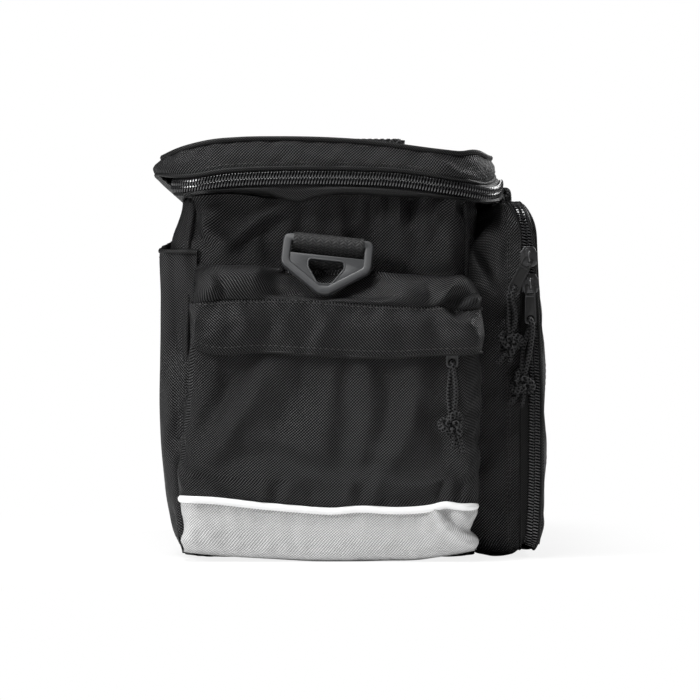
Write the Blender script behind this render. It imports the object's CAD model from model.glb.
"""Black fabric bag: zipped lid with a carry handle, zipped front pocket, slip pocket on the
back, and a flapped pocket with a strap ring on each end.

The bag stands on z = 0, centred in plan. +X is the front, -X the back where the lid hinges,
-Y the near end, +Y the far end. Geometry is worked out in mm, and meshes are made in metres.
"""
from math import acos, atan2, cos, pi, radians, sin, sqrt, tanh

import bmesh
import bpy
import numpy as np
from mathutils import Matrix, Vector


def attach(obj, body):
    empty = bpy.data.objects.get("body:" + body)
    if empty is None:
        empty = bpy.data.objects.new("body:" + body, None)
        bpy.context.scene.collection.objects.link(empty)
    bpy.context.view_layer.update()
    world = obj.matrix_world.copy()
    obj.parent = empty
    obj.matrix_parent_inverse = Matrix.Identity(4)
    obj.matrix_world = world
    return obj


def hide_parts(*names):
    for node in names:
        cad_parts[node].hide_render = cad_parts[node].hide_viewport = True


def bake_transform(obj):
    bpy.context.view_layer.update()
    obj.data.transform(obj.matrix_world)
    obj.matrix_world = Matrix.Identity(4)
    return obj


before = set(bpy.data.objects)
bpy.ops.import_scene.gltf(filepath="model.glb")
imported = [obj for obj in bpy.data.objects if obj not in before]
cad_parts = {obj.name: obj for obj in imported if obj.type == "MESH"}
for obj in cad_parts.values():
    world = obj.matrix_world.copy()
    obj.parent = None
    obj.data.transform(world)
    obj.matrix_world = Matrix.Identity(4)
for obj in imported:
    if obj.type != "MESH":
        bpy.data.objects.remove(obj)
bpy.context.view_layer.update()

MM = 0.001
UP = np.array([0, 0, 1.0])
CENTRE = (0, 0, 100)  # a point inside the bag, which tells outward from inward

# Walls, in plan
HALF_X, HALF_Y, CORNER = 80.0, 125.0, 22.0

# Front pocket, seen from the front
FRONT_HALF_Y, FRONT_FOOT, FRONT_TOP, FRONT_CORNER = 118.0, 4.0, 194.6, 14.0

# End pockets
END_WALL_Y = -126.2
POCKET_DEPTH, POCKET_CORNER = 22.0, 8.0
POCKET_ZIP_Y, POCKET_ZIP_Z = -147.7, 125.0

# Strap rings
RING_PLACE = (-0.3, -136, 171.5)
RING_TILT, RING_LEAN = radians(6), radians(25)
RING_HALF, RING_INNER_HALF = 24.4, 19.8

# Zip pulls
TAB_LENGTH, TAB_HALF = 21.0, 3.3
TAB_HOLE_Y = -18
CORD_RADIUS = 1.42


# ---------------------------------------------------------------- curves and fields
def smooth(low, high, x):
    """Eases from 0 at low to 1 at high; low may be the larger."""
    share = np.clip((np.asarray(x, float) - low) / (high - low), 0, 1)
    return share * share * (3 - 2 * share)


def table(x, stations):
    """Smooth curve through (x, value) stations, held level beyond the ends."""
    at, value = np.array(stations, float).T
    x = np.clip(np.asarray(x, float), at[0], at[-1])
    slope = np.gradient(value, at)
    i = np.clip(np.searchsorted(at, x) - 1, 0, len(at) - 2)
    gap = at[i + 1] - at[i]
    share = (x - at[i]) / gap
    rest = 1 - share
    return ((1 + 2 * share) * rest ** 2 * value[i] + share * rest ** 2 * gap * slope[i]
            + share * share * (3 - 2 * share) * value[i + 1]
            + share * share * (share - 1) * gap * slope[i + 1])


def waves(a, b, seed, size, stretch=(1, 1)):
    """Smooth random field over two coordinates, about -1 to 1, with features of the given size."""
    draw = np.random.RandomState(seed).uniform
    count = 14
    total = 0
    for _ in range(count):
        angle = draw(0, 2 * pi)
        rate = draw(0.6, 1.6) * pi / size
        phase = draw(0, 2 * pi)
        along = a * cos(angle) / stretch[0] + b * sin(angle) / stretch[1]
        total = total + np.sin(rate * along + phase)
    return total / sqrt(count) * 0.75


def folds(a, b, rows, taper=True):
    """Sum of folds over (a, b). Each row is height, width, then the points of its crest."""
    total = 0
    for height, width, *crest in rows:
        nearest, along = np.full(a.shape, 1e9), np.zeros(a.shape)
        count = len(crest) - 1
        for i in range(count):
            (x0, y0), (x1, y1) = crest[i], crest[i + 1]
            dx, dy = x1 - x0, y1 - y0
            share = np.clip(((a - x0) * dx + (b - y0) * dy) / (dx * dx + dy * dy), 0, 1)
            distance = np.hypot(a - x0 - share * dx, b - y0 - share * dy)
            closer = distance < nearest
            nearest = np.where(closer, distance, nearest)
            along = np.where(closer, (i + share) / count, along)
        fade = np.sin(pi * np.clip(along, 0.08, 0.92)) if taper else 1
        total = total + height * np.exp(-(nearest / width) ** 2) * fade
    return total


def stack(*parts):
    """Joins coordinates of any matching shapes along a new last axis."""
    return np.stack(np.broadcast_arrays(*parts), -1)


def split(sheet):
    """The x, y and z of a sheet of points."""
    return np.moveaxis(sheet, -1, 0)


def run_length(points):
    """Distance run along a polyline at each of its points."""
    steps = np.linalg.norm(np.diff(points, axis=0), axis=1)
    return np.concatenate([[0], np.cumsum(steps)])


def sample(values, run, at):
    """Rows of values, known at distances run, taken at other distances."""
    return np.stack([np.interp(at, run, column) for column in values.T], 1)


def unit(vectors):
    return vectors / np.linalg.norm(vectors, axis=1, keepdims=True)


def spline(points, step, closed=False):
    """Catmull-Rom curve through the points, resampled at about step."""
    points = np.asarray(points, float)
    count = len(points)
    if count == 2:
        pieces = max(2, int(np.linalg.norm(points[1] - points[0]) / step) + 1)
        return points[0] + (points[1] - points[0]) * np.linspace(0, 1, pieces)[:, None]
    curve = []
    t = np.linspace(0, 1, 16, endpoint=False)[:, None]
    for i in range(count if closed else count - 1):
        near = [i - 1, i, i + 1, i + 2]
        if closed:
            near = [k % count for k in near]
        a, b, c, d = points[np.clip(near, 0, count - 1)]
        curve.append(0.5 * (2 * b + (c - a) * t + (2 * a - 5 * b + 4 * c - d) * t ** 2
                            + (3 * b - a - 3 * c + d) * t ** 3))
    curve = np.concatenate(curve + [points[:1] if closed else points[-1:]])
    run = run_length(curve)
    pieces = max(3, int(run[-1] / step) + 1)
    if closed:
        return sample(curve, run, np.linspace(0, run[-1], pieces + 1)[:-1])
    return sample(curve, run, np.linspace(0, run[-1], pieces))


def crossing(sheet, closed):
    """Unscaled normals of a sheet, on the side its rows and columns give."""
    if closed:
        along = np.roll(sheet, -1, 0) - np.roll(sheet, 1, 0)
    else:
        along = np.gradient(sheet, axis=0)
    return np.cross(along, np.gradient(sheet, axis=1))


def normals(sheet, closed=False, centre=CENTRE, outward=True):
    """Unit normals of a sheet, facing away from centre or towards it."""
    normal = crossing(sheet, closed)
    normal /= np.maximum(np.linalg.norm(normal, axis=2, keepdims=True), 1e-9)
    facing = (normal * (sheet - np.array(centre))).sum()
    return normal if (facing > 0) == outward else -normal


def arc_uv(sheet):
    """UV from lengths over the sheet, with u = 0 at its middle row."""
    across = np.linalg.norm(np.diff(sheet, axis=0), axis=2).cumsum(0)
    across = np.concatenate([np.zeros((1, sheet.shape[1])), across])
    along = np.linalg.norm(np.diff(sheet, axis=1), axis=2).cumsum(1)
    along = np.concatenate([np.zeros((sheet.shape[0], 1)), along], 1)
    return stack(across - across[len(across) // 2], along.mean(0)) * MM


# ---------------------------------------------------------------- meshes
def add_object(name, data):
    ob = bpy.data.objects.new(name, data)
    bpy.context.scene.collection.objects.link(ob)
    return ob


class Shells:
    """Collects shells, with points in mm and UV in metres, and turns them into one mesh."""

    def __init__(self):
        self.points, self.faces, self.uvs, self.slots = [], [], [], []
        self.count = 0

    def face(self, corners, uvs, slot=0, flip=False):
        order = -1 if flip else 1
        self.faces.append(list(corners)[::order])
        self.uvs.append(list(uvs)[::order])
        self.slots.append(slot)

    def add_points(self, points):
        points = points.reshape(-1, 3)
        self.points.append(points)
        self.count += len(points)

    def grid(self, sheet, uv, closed=False, closed_across=False, slot=0, flip=False):
        """A grid of quads; UV runs on past the join of a closed grid."""
        rows, columns = sheet.shape[:2]
        if closed:
            uv = np.concatenate([uv, uv[-1:] + (uv[-1, 0] - uv[-2, 0])])
        if closed_across:
            uv = np.concatenate([uv, uv[:, -1:] + (uv[0, -1] - uv[0, -2])], 1)
        for i in range(uv.shape[0] - 1):
            for j in range(uv.shape[1] - 1):
                corners = [(i, j), (i + 1, j), (i + 1, j + 1), (i, j + 1)]
                self.face([self.count + p % rows * columns + q % columns for p, q in corners],
                          [uv[corner] for corner in corners], slot, flip)
        self.add_points(sheet)

    def sheet(self, outer, uv, thick, closed=False, slot=0, centre=CENTRE, outward=True,
              normal=None):
        """A sheet with thickness, given its outer face."""
        facing = normals(outer, closed, centre, outward)
        flip = (crossing(outer, closed) * facing).sum() < 0
        if normal is None:
            normal = facing
        rows, columns = outer.shape[:2]
        base, inner = self.count, rows * columns
        self.grid(outer, uv, closed, slot=slot, flip=flip)
        self.grid(outer - normal * thick, uv, closed, slot=slot, flip=not flip)
        first = [i * columns for i in range(rows)] + [0] * closed
        last = [i + columns - 1 for i in first]
        edges = [first, last[::-1]]
        if not closed:
            edges.append(list(range(columns))[::-1])
            edges.append([(rows - 1) * columns + j for j in range(columns)])
        rim = np.array([0.0, thick * MM])
        for edge in edges:
            for i, j in zip(edge, edge[1:]):
                uv_i, uv_j = uv[divmod(i, columns)], uv[divmod(j, columns)]
                self.face([base + j, base + i, base + i + inner, base + j + inner],
                          [uv_j, uv_i, uv_i + rim, uv_j + rim], slot, flip)

    def disc(self, rings, thick, up, centre=CENTRE):
        """A closed panel facing up (1) or down (-1): rings, and a fan that fills the last one."""
        self.sheet(rings, rings[..., :2] * MM, thick, closed=True, centre=centre,
                   normal=up * UP)
        inner = rings[:, -1]
        count = len(inner)
        fan = np.concatenate([inner, [[0, 0, inner[:, 2].mean()]]])
        uv = fan[:, :2] * MM
        for sunk, flip in ((0, up < 0), (thick, up > 0)):
            for i in range(count):
                corners = [i, (i + 1) % count, count]
                self.face([self.count + k for k in corners], uv[corners], flip=flip)
            self.add_points(fan - up * sunk * UP)

    def tube(self, points, radius, sides, step, slot=0, closed=False, up=None):
        """A round tube along a curve; radius may be a list, spread evenly along it."""
        curve = spline(points, step, closed)
        count = len(curve)
        if closed:
            along = unit(np.roll(curve, -1, 0) - np.roll(curve, 1, 0))
        else:
            along = unit(np.gradient(curve, axis=0))
        if up is None:
            start = UP if abs(along[0][2]) < 0.9 else np.array([1.0, 0, 0])
        else:
            start = np.array(up, float)
        side = start
        first = np.zeros_like(curve)
        for i in range(count):
            if up is not None:
                side = start
            side = side - along[i] * (side @ along[i])
            side = side / np.linalg.norm(side)
            first[i] = side
        second = np.cross(along, first)
        if closed and up is None:
            # spread the twist left at the join over the whole tube
            twist = atan2(-(first[0] @ np.cross(first[-1], along[0])), first[0] @ first[-1])
            turn = (twist * np.arange(count) / count)[:, None]
            first, second = (first * np.cos(turn) + second * np.sin(turn),
                             second * np.cos(turn) - first * np.sin(turn))
        radii = np.atleast_1d(np.asarray(radius, float))
        radii = np.interp(np.linspace(0, 1, count), np.linspace(0, 1, len(radii)), radii)
        angle = (np.arange(sides) * 2 * pi / sides)[:, None]
        rings = curve[:, None] + radii[:, None, None] * (
            np.cos(angle) * first[:, None] + np.sin(angle) * second[:, None])
        uv = stack(np.arange(sides) / sides * 2 * pi * radii.max(),
                   run_length(curve)[:, None]) * MM
        base = self.count
        self.grid(rings, uv, closed, closed_across=True, slot=slot, flip=True)
        if not closed:
            last = base + (count - 1) * sides
            self.face(range(base, base + sides), uv[0], slot)
            self.face(range(last, last + sides), uv[-1], slot, flip=True)

    def copies(self, units, faces, slot=0):
        """Many like pieces: units is (piece, ring, side, xyz), faces are those of one piece."""
        size = units.shape[1] * units.shape[2]
        for k in range(len(units)):
            base = self.count + k * size
            for face in faces:
                self.face([base + i for i in face], [(0.0, 0.0)] * len(face), slot)
        self.add_points(units)

    def mesh(self, name, materials=(), matrix=None):
        mesh = bpy.data.meshes.new(name)
        mesh.from_pydata((np.concatenate(self.points) * MM).tolist(), [], self.faces)
        layer = mesh.uv_layers.new(name="UVMap")
        uv = np.concatenate([np.reshape(corners, (-1, 2)) for corners in self.uvs])
        layer.data.foreach_set("uv", uv.ravel())
        for material in materials:
            mesh.materials.append(material)
        mesh.polygons.foreach_set("material_index", self.slots)
        mesh.validate()
        mesh.shade_smooth()
        mesh.set_sharp_from_angle(angle=radians(48))
        if matrix is not None:
            mesh.transform(matrix)
        return mesh


def unit_faces(rings, sides, start=0):
    """Faces of a small capped piece; start says which corner begins each quad."""
    faces = []
    for i in range(rings - 1):
        for j in range(sides):
            ahead = (j + 1) % sides
            low, high = i * sides, (i + 1) * sides
            quad = [low + j, low + ahead, high + ahead, high + j]
            faces.append(quad[start:] + quad[:start])
    faces.append(list(range(sides))[::-1])
    faces.append([(rings - 1) * sides + j for j in range(sides)])
    return faces


def teeth(shells, line, across, out, phase, inner=-0.35, outer=3.5):
    """One row of zip coil. line is the zip's middle, across points from it over this row."""
    pitch, slant, thick, sides = 1.62, 0.30, 1.05, 6
    run = run_length(line)
    at = np.arange(phase * pitch + 0.3, run[-1] - 0.3, pitch)
    middle = sample(line, run, at)
    across = unit(sample(np.broadcast_to(across, line.shape), run, at))
    along = unit(np.cross(across, sample(np.broadcast_to(out, line.shape), run, at)))
    out = np.cross(along, across)
    # place across the zip, half width along it, half height, lift
    rings = [
        (outer, 0.42, 0.55, -0.15), (outer - 0.5, 0.62, 0.95, 0.0),
        ((inner + outer) / 2, 0.60, 1.12, 0.1), (inner + 0.7, 0.66, 1.15, 0.0),
        (inner, 0.42, 0.6, -0.15)]
    angle = (np.arange(sides) * pi / 3)[:, None]
    units = np.stack([
        middle[:, None] + across[:, None] * place
        + along[:, None] * (np.cos(angle) * width + slant * place)
        + out[:, None] * (np.sin(angle) * height * thick + lift)
        for place, width, height, lift in rings], 1)
    faces = unit_faces(len(rings), sides)
    # turn the faces outward, whichever hand this row has
    quad = units[0].reshape(-1, 3)[faces[0]]
    core = middle[0] + across[0] * (outer - 0.2) + along[0] * slant * outer
    if np.cross(quad[1] - quad[0], quad[2] - quad[0]) @ (quad.mean(0) - core) < 0:
        faces = [face[::-1] for face in faces]
    shells.copies(units, faces)


def stitches(shells, line, out, radius=0.24, slot=1, sink=0.0):
    """A row of thread along a line on the surface; sink moves it along out."""
    length, gap, sides = 2.5, 0.9, 5
    line = np.asarray(line, float)
    out = np.broadcast_to(np.asarray(out, float), line.shape)
    run = run_length(line)
    at = np.arange(0.4, run[-1] - length, length + gap)
    rings = []
    # share of the length, lift, share of the radius
    for share, lift, size in ((0, -0.25, 0.5), (0.15, 0.05, 1), (0.85, 0.05, 1), (1, -0.25, 0.5)):
        place = at + length * share
        rings.append((sample(line, run, place) + sample(out, run, place) * (lift + sink), size))
    along = unit(sample(line, run, at + length) - sample(line, run, at))
    rise = sample(out, run, at + length / 2)
    rise = unit(rise - along * (rise * along).sum(1, keepdims=True))
    side = np.cross(along, rise)
    angle = (np.arange(sides) * 2 * pi / sides)[:, None]
    units = np.stack([
        middle[:, None] + radius * size * (np.cos(angle) * rise[:, None]
                                           + np.sin(angle) * side[:, None])
        for middle, size in rings], 1)
    shells.copies(units, unit_faces(len(rings), sides, start=1), slot)


def mirror(ob, name):
    """The mirror image of an object across y = 0."""
    mesh = ob.data.copy()
    mesh.transform(Matrix.Diagonal((1, -1, 1, 1)))
    mesh.flip_normals()
    return add_object(name, mesh)


def register(ob, body, slot, *replaces):
    """body is the moving part it rides on, or the four values of a blend between two."""
    if isinstance(body, str):
        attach(ob, body)
    else:
        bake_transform(ob)
    if replaces:
        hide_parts(*replaces)


def finish(shells, name, materials, body, slot, *replaces):
    register(add_object(name, shells.mesh(name, materials)), body, slot, *replaces)


def register_pair(near, name, body, slot, replaces):
    """Mirrors a near-end object to the far end and registers both."""
    far = mirror(near, "far_" + name)
    for end, ob, side in (("near", near, 1), ("far", far, -1)):
        place = body.format(end=end)
        if place == "flap":
            place = ("bag", end + "_flap",
                     (0, -0.1500 * side, 0.1405), (0, -0.1530 * side, 0.1335))
        register(ob, place, slot, end + "_" + replaces)


def finish_pair(shells, name, materials, body, slot, replaces, matrix=None):
    near_name = "near_" + name
    near = add_object(near_name, shells.mesh(near_name, materials, matrix))
    register_pair(near, name, body, slot, replaces)


# ---------------------------------------------------------------- cloth
CLOTH_SCALE = 0.01  # one unit per 100 mm, so that wrinkles settle at a convenient scale
CLOTH_SETTINGS = dict(
    quality=6, mass=0.15, compression_stiffness=12, tension_stiffness=12, shear_stiffness=4,
    bending_stiffness=0.6, compression_damping=8, tension_damping=8, shear_damping=8,
    bending_damping=0.5, air_damping=4, vertex_group_mass="pin", pin_stiffness=4)
CLOTH_GRAVITY = 0.15


def pins(sheet, rows=(0, -1), cols=(0, -1)):
    """Pin weights of a sheet: rows lie along its edges, cols across its ends."""
    weight = np.zeros(sheet.shape[:2])
    weight[:, list(rows)] = 1
    weight[list(cols)] = 1
    return weight


def simulate(start, pin, closed, shrink, frames):
    """Runs the cloth simulation and returns the settled points."""
    shells = Shells()
    shells.grid(start, np.zeros(start.shape[:2] + (2,)), closed)
    mesh = bpy.data.meshes.new("sim")
    mesh.from_pydata((np.concatenate(shells.points) * CLOTH_SCALE).tolist(), [], shells.faces)
    ob = add_object("sim", mesh)
    group = ob.vertex_groups.new(name="pin")
    group.add([int(i) for i in np.nonzero(pin.ravel())[0]], 1.0, "REPLACE")
    modifier = ob.modifiers.new("c", "CLOTH")
    settings = modifier.settings
    for key, value in CLOTH_SETTINGS.items():
        setattr(settings, key, value)
    settings.shrink_min = shrink
    settings.effector_weights.gravity = CLOTH_GRAVITY
    modifier.collision_settings.use_collision = False
    modifier.collision_settings.use_self_collision = False
    modifier.point_cache.frame_start = 1
    modifier.point_cache.frame_end = frames + 2
    scene = bpy.context.scene
    for number in range(1, frames + 1):
        scene.frame_set(number)
    settled = ob.evaluated_get(bpy.context.evaluated_depsgraph_get())
    points = np.zeros(start.size)
    settled.data.vertices.foreach_get("co", points)
    bpy.data.objects.remove(ob)
    scene.frame_set(1)
    return points.reshape(start.shape) / CLOTH_SCALE


def cloth(sheet, pin, seed, frames, shrink, low, high, closed=False, centre=CENTRE,
          jitter=0.35, ease=1):
    """Lets a pinned sheet with spare length buckle into wrinkles between low and high."""
    normal = normals(sheet, closed, centre)
    i, j = np.indices(sheet.shape[:2])
    start = sheet + normal * (waves(i, j, seed, 4.0) * jitter * (1 - pin))[..., None]
    moved = simulate(start, pin, closed, shrink, frames) - sheet
    lift = (moved * normal).sum(2)
    slide = moved - normal * lift[..., None]
    # soft limits on the lift, which leave zero at zero
    middle, half = (high + low) / 2, (high - low) / 2
    lift = middle + half * np.tanh((lift - middle) / half)
    lift = lift - (middle + half * tanh(-middle / half))
    for _ in range(ease):
        for axis in (0, 1):
            margin = [(1, 1) if k == axis else (0, 0) for k in (0, 1)]
            wide = np.pad(lift, margin, mode="wrap" if closed and axis == 0 else "edge")
            before, here, after = (np.take(wide, range(k, k + lift.shape[axis]), axis)
                                   for k in (0, 1, 2))
            lift = 0.25 * before + 0.5 * here + 0.25 * after
    lift = lift * (1 - pin)
    length = np.linalg.norm(slide, axis=2, keepdims=True)
    slide = slide * np.minimum(1, 3.0 / np.maximum(length, 1e-6))
    return sheet + normal * lift[..., None] + slide


# ---------------------------------------------------------------- materials
class Value:
    """A shader output that can be added, subtracted and multiplied."""

    def __init__(self, shader, socket):
        self.shader, self.socket = shader, socket

    def op(self, operation, other=0.0):
        node = self.shader.node("ShaderNodeMath", operation=operation)
        for socket, value in zip(node.inputs, (self, other, 0.0)):
            self.shader.put(socket, value)
        return Value(self.shader, node.outputs[0])

    def __add__(self, other):
        return self.op("ADD", other)

    def __sub__(self, other):
        return self.op("SUBTRACT", other)

    def __mul__(self, other):
        return self.op("MULTIPLY", other)

    def clamped(self):
        self.socket.node.use_clamp = True
        return self


class Shader:
    """A material under construction."""

    def __init__(self, name):
        self.material = bpy.data.materials.new(name)
        self.material.use_nodes = True
        self.tree = self.material.node_tree
        self.surface = self.tree.nodes["Principled BSDF"]

    def node(self, kind, **settings):
        node = self.tree.nodes.new(kind)
        for key, value in settings.items():
            setattr(node, key, value)
        return node

    def put(self, socket, value):
        """Links a value to a socket, or sets the socket to a number or colour."""
        if isinstance(value, Value):
            self.tree.links.new(value.socket, socket)
        elif isinstance(value, tuple):
            socket.default_value = (*value, 1)
        else:
            socket.default_value = value

    def mix(self, factor, dark, light):
        node = self.node("ShaderNodeMix", data_type="RGBA")
        for index, value in ((0, factor), (6, dark), (7, light)):
            self.put(node.inputs[index], value)
        return Value(self, node.outputs[2])

    def separate(self, source):
        node = self.node("ShaderNodeSeparateXYZ")
        self.tree.links.new(source, node.inputs[0])
        return Value(self, node.outputs[0]), Value(self, node.outputs[1])

    def uv(self):
        return self.separate(self.node("ShaderNodeUVMap", uv_map="UVMap").outputs[0])

    def noise(self, scale, detail):
        node = self.node("ShaderNodeTexNoise")
        node.inputs["Scale"].default_value = scale
        node.inputs["Detail"].default_value = detail
        place = self.node("ShaderNodeTexCoord").outputs["Object"]
        self.tree.links.new(place, node.inputs["Vector"])
        return Value(self, node.outputs[0])

    def bump(self, height, depth, strength=1.0):
        """depth is in mm."""
        node = self.node("ShaderNodeBump")
        node.inputs["Strength"].default_value = strength
        node.inputs["Distance"].default_value = depth * MM
        self.put(node.inputs["Height"], height)
        return Value(self, node.outputs[0])

    def set(self, **inputs):
        for key, value in inputs.items():
            self.put(self.surface.inputs[key.replace("_", " ")], value)


def woven(name, dark, light, pitch=0.80, rough=0.46, depth=0.34, coarse=0.35, power=3.2):
    """Weave in panel coordinates, one diagonal stronger than the other. pitch, depth in mm."""
    shader = Shader(name)
    shine = 0.31
    u, v = shader.uv()
    wobble = (shader.noise(scale=260.0, detail=1.0) - 0.5) * 0.9
    warp = u * (pi / (pitch * MM)) + wobble
    weft = v * (pi / (pitch * MM)) - wobble
    height = (warp - weft).op("COSINE") * 0.68 - (warp + weft).op("COSINE") * 0.32
    height = height * 0.5 + 0.5
    yarn = shader.noise(scale=1500.0, detail=2.0)
    patches = shader.noise(scale=22.0, detail=3.0)
    light_share = (height.op("POWER", power) * (yarn * 0.7 + 0.55)).clamped()
    light_share = (light_share * (patches * (coarse * 2) + (1 - coarse))).clamped()
    shader.set(Base_Color=shader.mix(light_share, dark, light),
               Roughness=height * -0.14 + (rough + 0.06),
               Normal=shader.bump(height + yarn * 0.5, depth),
               Specular_IOR_Level=height.op("POWER", 2.4) * (1.7 * shine) + 0.1 * shine)
    return shader.material


def herringbone(name, dark, light):
    """Webbing: v runs along the strap, u across it."""
    shader = Shader(name)
    rib_width, pick = 0.0021, 0.0019  # metres
    u, v = shader.uv()
    zigzag = u.op("PINGPONG", rib_width)
    phase = v * (2 * pi / pick) + zigzag * (2 * pi / rib_width)
    height = phase.op("SINE") * 0.5 + 0.5
    rib = (u * (pi / rib_width)).op("SINE").op("ABSOLUTE")
    height = height * (rib * 0.6 + 0.4)
    yarn = shader.noise(scale=1800.0, detail=2.0)
    shader.set(Base_Color=shader.mix((height * (yarn + 0.4)).clamped(), dark, light),
               Roughness=0.6, Specular_IOR_Level=0.4,
               Normal=shader.bump(height, depth=0.4, strength=0.9))
    return shader.material


def braided(name, dark, light):
    """Cord: two sets of strands that cross, with v along the cord."""
    shader = Shader(name)
    round_rate, along_rate = 2 * pi / 0.00272, 2 * pi / 0.0019  # one strand, metres
    u, v = shader.uv()
    left = (u * round_rate + v * along_rate).op("SINE")
    right = (u * round_rate - v * along_rate).op("SINE")
    height = left.op("MAXIMUM", right) * 0.5 + 0.5
    shader.set(Base_Color=shader.mix(height.op("POWER", 2.0), dark, light),
               Roughness=0.58, Normal=shader.bump(height, depth=0.4),
               Specular_IOR_Level=height.op("POWER", 3.0) * 0.4 + 0.04)
    return shader.material


def plain(name, colour, rough, metal=0.0, shine=0.5, grain=0.0, scale=900.0):
    """One colour, with uneven gloss and, if grain is given, a fine bump that deep in mm."""
    shader = Shader(name)
    gloss = shader.noise(scale=scale * 0.4, detail=3.0)
    shader.set(Base_Color=colour, Metallic=metal, Specular_IOR_Level=shine,
               Roughness=gloss * 0.16 + (rough - 0.08))
    if grain:
        texture = shader.noise(scale=scale, detail=3.0)
        shader.set(Normal=shader.bump(texture, grain, strength=0.6))
    return shader.material


FABRIC = woven("black_oxford", dark=(0.0010, 0.0010, 0.0011), light=(0.056, 0.056, 0.058))
TAPE = woven("zip_tape", dark=(0.004, 0.004, 0.004), light=(0.018, 0.018, 0.019),
             pitch=0.6, rough=0.55, depth=0.08)
BINDING = woven("binding", dark=(0.004, 0.004, 0.004), light=(0.022, 0.022, 0.023),
                pitch=0.7, rough=0.55, depth=0.1)
GREY = woven("grey_oxford", dark=(0.205, 0.205, 0.205), light=(0.76, 0.76, 0.76),
             rough=0.66, depth=0.12, coarse=0.10, power=1.0)
PIPING = plain("reflective_white", (0.86, 0.86, 0.86), rough=0.32, shine=0.6, grain=0.03,
               scale=2500)
LINING = woven("lining", dark=(0.012, 0.012, 0.013), light=(0.035, 0.035, 0.037),
               pitch=0.45, rough=0.5, depth=0.05)
WEBBING = herringbone("webbing", dark=(0.002, 0.002, 0.002), light=(0.042, 0.042, 0.043))
CORD = braided("braided_cord", dark=(0.0010, 0.0010, 0.0010), light=(0.018, 0.018, 0.019))
COIL = plain("nylon_coil", (0.016, 0.016, 0.017), rough=0.24, shine=1.0)
RING = plain("ring_plastic", (0.034, 0.035, 0.037), rough=0.42, grain=0.05, scale=1400)
METAL = plain("dark_metal", (0.085, 0.085, 0.087), rough=0.30, metal=0.9, grain=0.01, scale=700)
ENAMEL = plain("dark_enamel", (0.012, 0.012, 0.012), rough=0.38, grain=0.02, scale=700)
THREAD = plain("thread", (0.010, 0.010, 0.010), rough=0.6)
GREY_THREAD = plain("thread_grey", (0.42, 0.42, 0.42), rough=0.6)
BOARD = plain("board", (0.02, 0.02, 0.021), rough=0.6, grain=0.1, scale=500)


# ---------------------------------------------------------------- path round the bag
# Columns of a path: place, outward normal, angle of the normal in degrees, length run
PX, PY, NX, NY, ANGLE, RUN = range(6)


def plan(step, out):
    """Closed path round the walls from the middle of the back, near end first.

    The angle is 180 on the back, 270 on the near end, 360 on the front, 450 on the far end.
    Lengths in the corners are those at offset out.
    """
    x, y = HALF_X - CORNER, HALF_Y - CORNER
    legs = [
        ((-HALF_X, 0), (-HALF_X, -y), 180), ((-x, -HALF_Y), (x, -HALF_Y), 270),
        ((HALF_X, -y), (HALF_X, y), 360), ((x, HALF_Y), (-x, HALF_Y), 450),
        ((-HALF_X, y), (-HALF_X, 0), 540)]
    corners = [(-x, -y), (x, -y), (x, y), (-x, y), None]
    rows, run = [], 0.0
    for (start, end, angle), corner in zip(legs, corners):
        start, end = np.array(start, float), np.array(end, float)
        length = np.linalg.norm(end - start)
        count = max(1, int(round(length / step)))
        facing = (cos(radians(angle)), sin(radians(angle)))
        for i in range(count):
            place = start + (end - start) * i / count
            rows.append([*place, *facing, angle, run + length * i / count])
        run += length
        if corner is None:
            continue
        length = (CORNER + out) * pi / 2
        count = max(2, int(round(length / step)))
        for i in range(count):
            turned = angle + 90 * i / count
            facing = np.array([cos(radians(turned)), sin(radians(turned))])
            rows.append([*(corner + facing * CORNER), *facing, turned, run + length * i / count])
        run += length
    return np.array(rows)


PATH = plan(step=2.2, out=14.0)
PATH_RUN = PATH[:, RUN][:, None]
PATH_OUT = stack(PATH[:, NX], PATH[:, NY], 0.0)
FROM_FRONT = np.abs(PATH[:, ANGLE] - 360)  # degrees turned from facing front


def around(out, z, path=PATH):
    """Points at offset out and height z, arrays over path x profile."""
    return stack(path[:, PX, None] + path[:, NX, None] * out,
                 path[:, PY, None] + path[:, NY, None] * out, z)


# Heights over the ends of the bag, as (x, z); the front and back are level or nearly so
COIL_STATIONS = [
    (-94, 205.2), (-88, 203.2), (-80, 202.3), (-53, 205.0), (-21, 206.2), (11, 206.0),
    (38, 204.8), (65, 201.0), (81, 198.6), (94, 196.8)]
SEAM_STATIONS = [
    (-92, 218.2), (-84, 220.9), (-69, 224.6), (-49, 226.6), (-28, 227.0), (5, 226.2),
    (26, 224.6), (43, 222.3), (61, 220.0), (72, 219.2), (84, 220.2), (92, 217.0)]
BAND_FOOT_STATIONS = [
    (-94, 199.2), (-84, 198.0), (-78, 197.8), (-62, 198.9), (-46, 198.8), (-32, 197.2),
    (-24, 194.2), (-15, 192.8), (-10, 194.6), (4, 197.3), (17, 197.3), (28, 196.4),
    (51, 195.8), (70, 194.7), (81, 194.4), (94, 195.6)]


def path_height(side, stations, out):
    """Height along the path: side on the front and back, the stations over the ends."""
    share = smooth(99, 131, np.abs(PATH[:, PY] + PATH[:, NY] * 14))
    end = table(PATH[:, PX] + PATH[:, NX] * out, stations)
    return side * (1 - share) + end * share


COIL_SIDE_Z = 204.0
COIL_Z = path_height(COIL_SIDE_Z, COIL_STATIONS, out=14)[:, None]
SEAM_Z = path_height(221.5 - 2.8 * smooth(35, 92, np.abs(PATH[:, PY])),
                     SEAM_STATIONS, out=12)[:, None]
BAND_FOOT_Z = path_height(196.0, BAND_FOOT_STATIONS, out=14)[:, None]
# how far the zip is drawn in at the two back corners
TUCK = 3.4 * np.exp(-((FROM_FRONT - 153) / 17.0) ** 2)[:, None]


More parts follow.
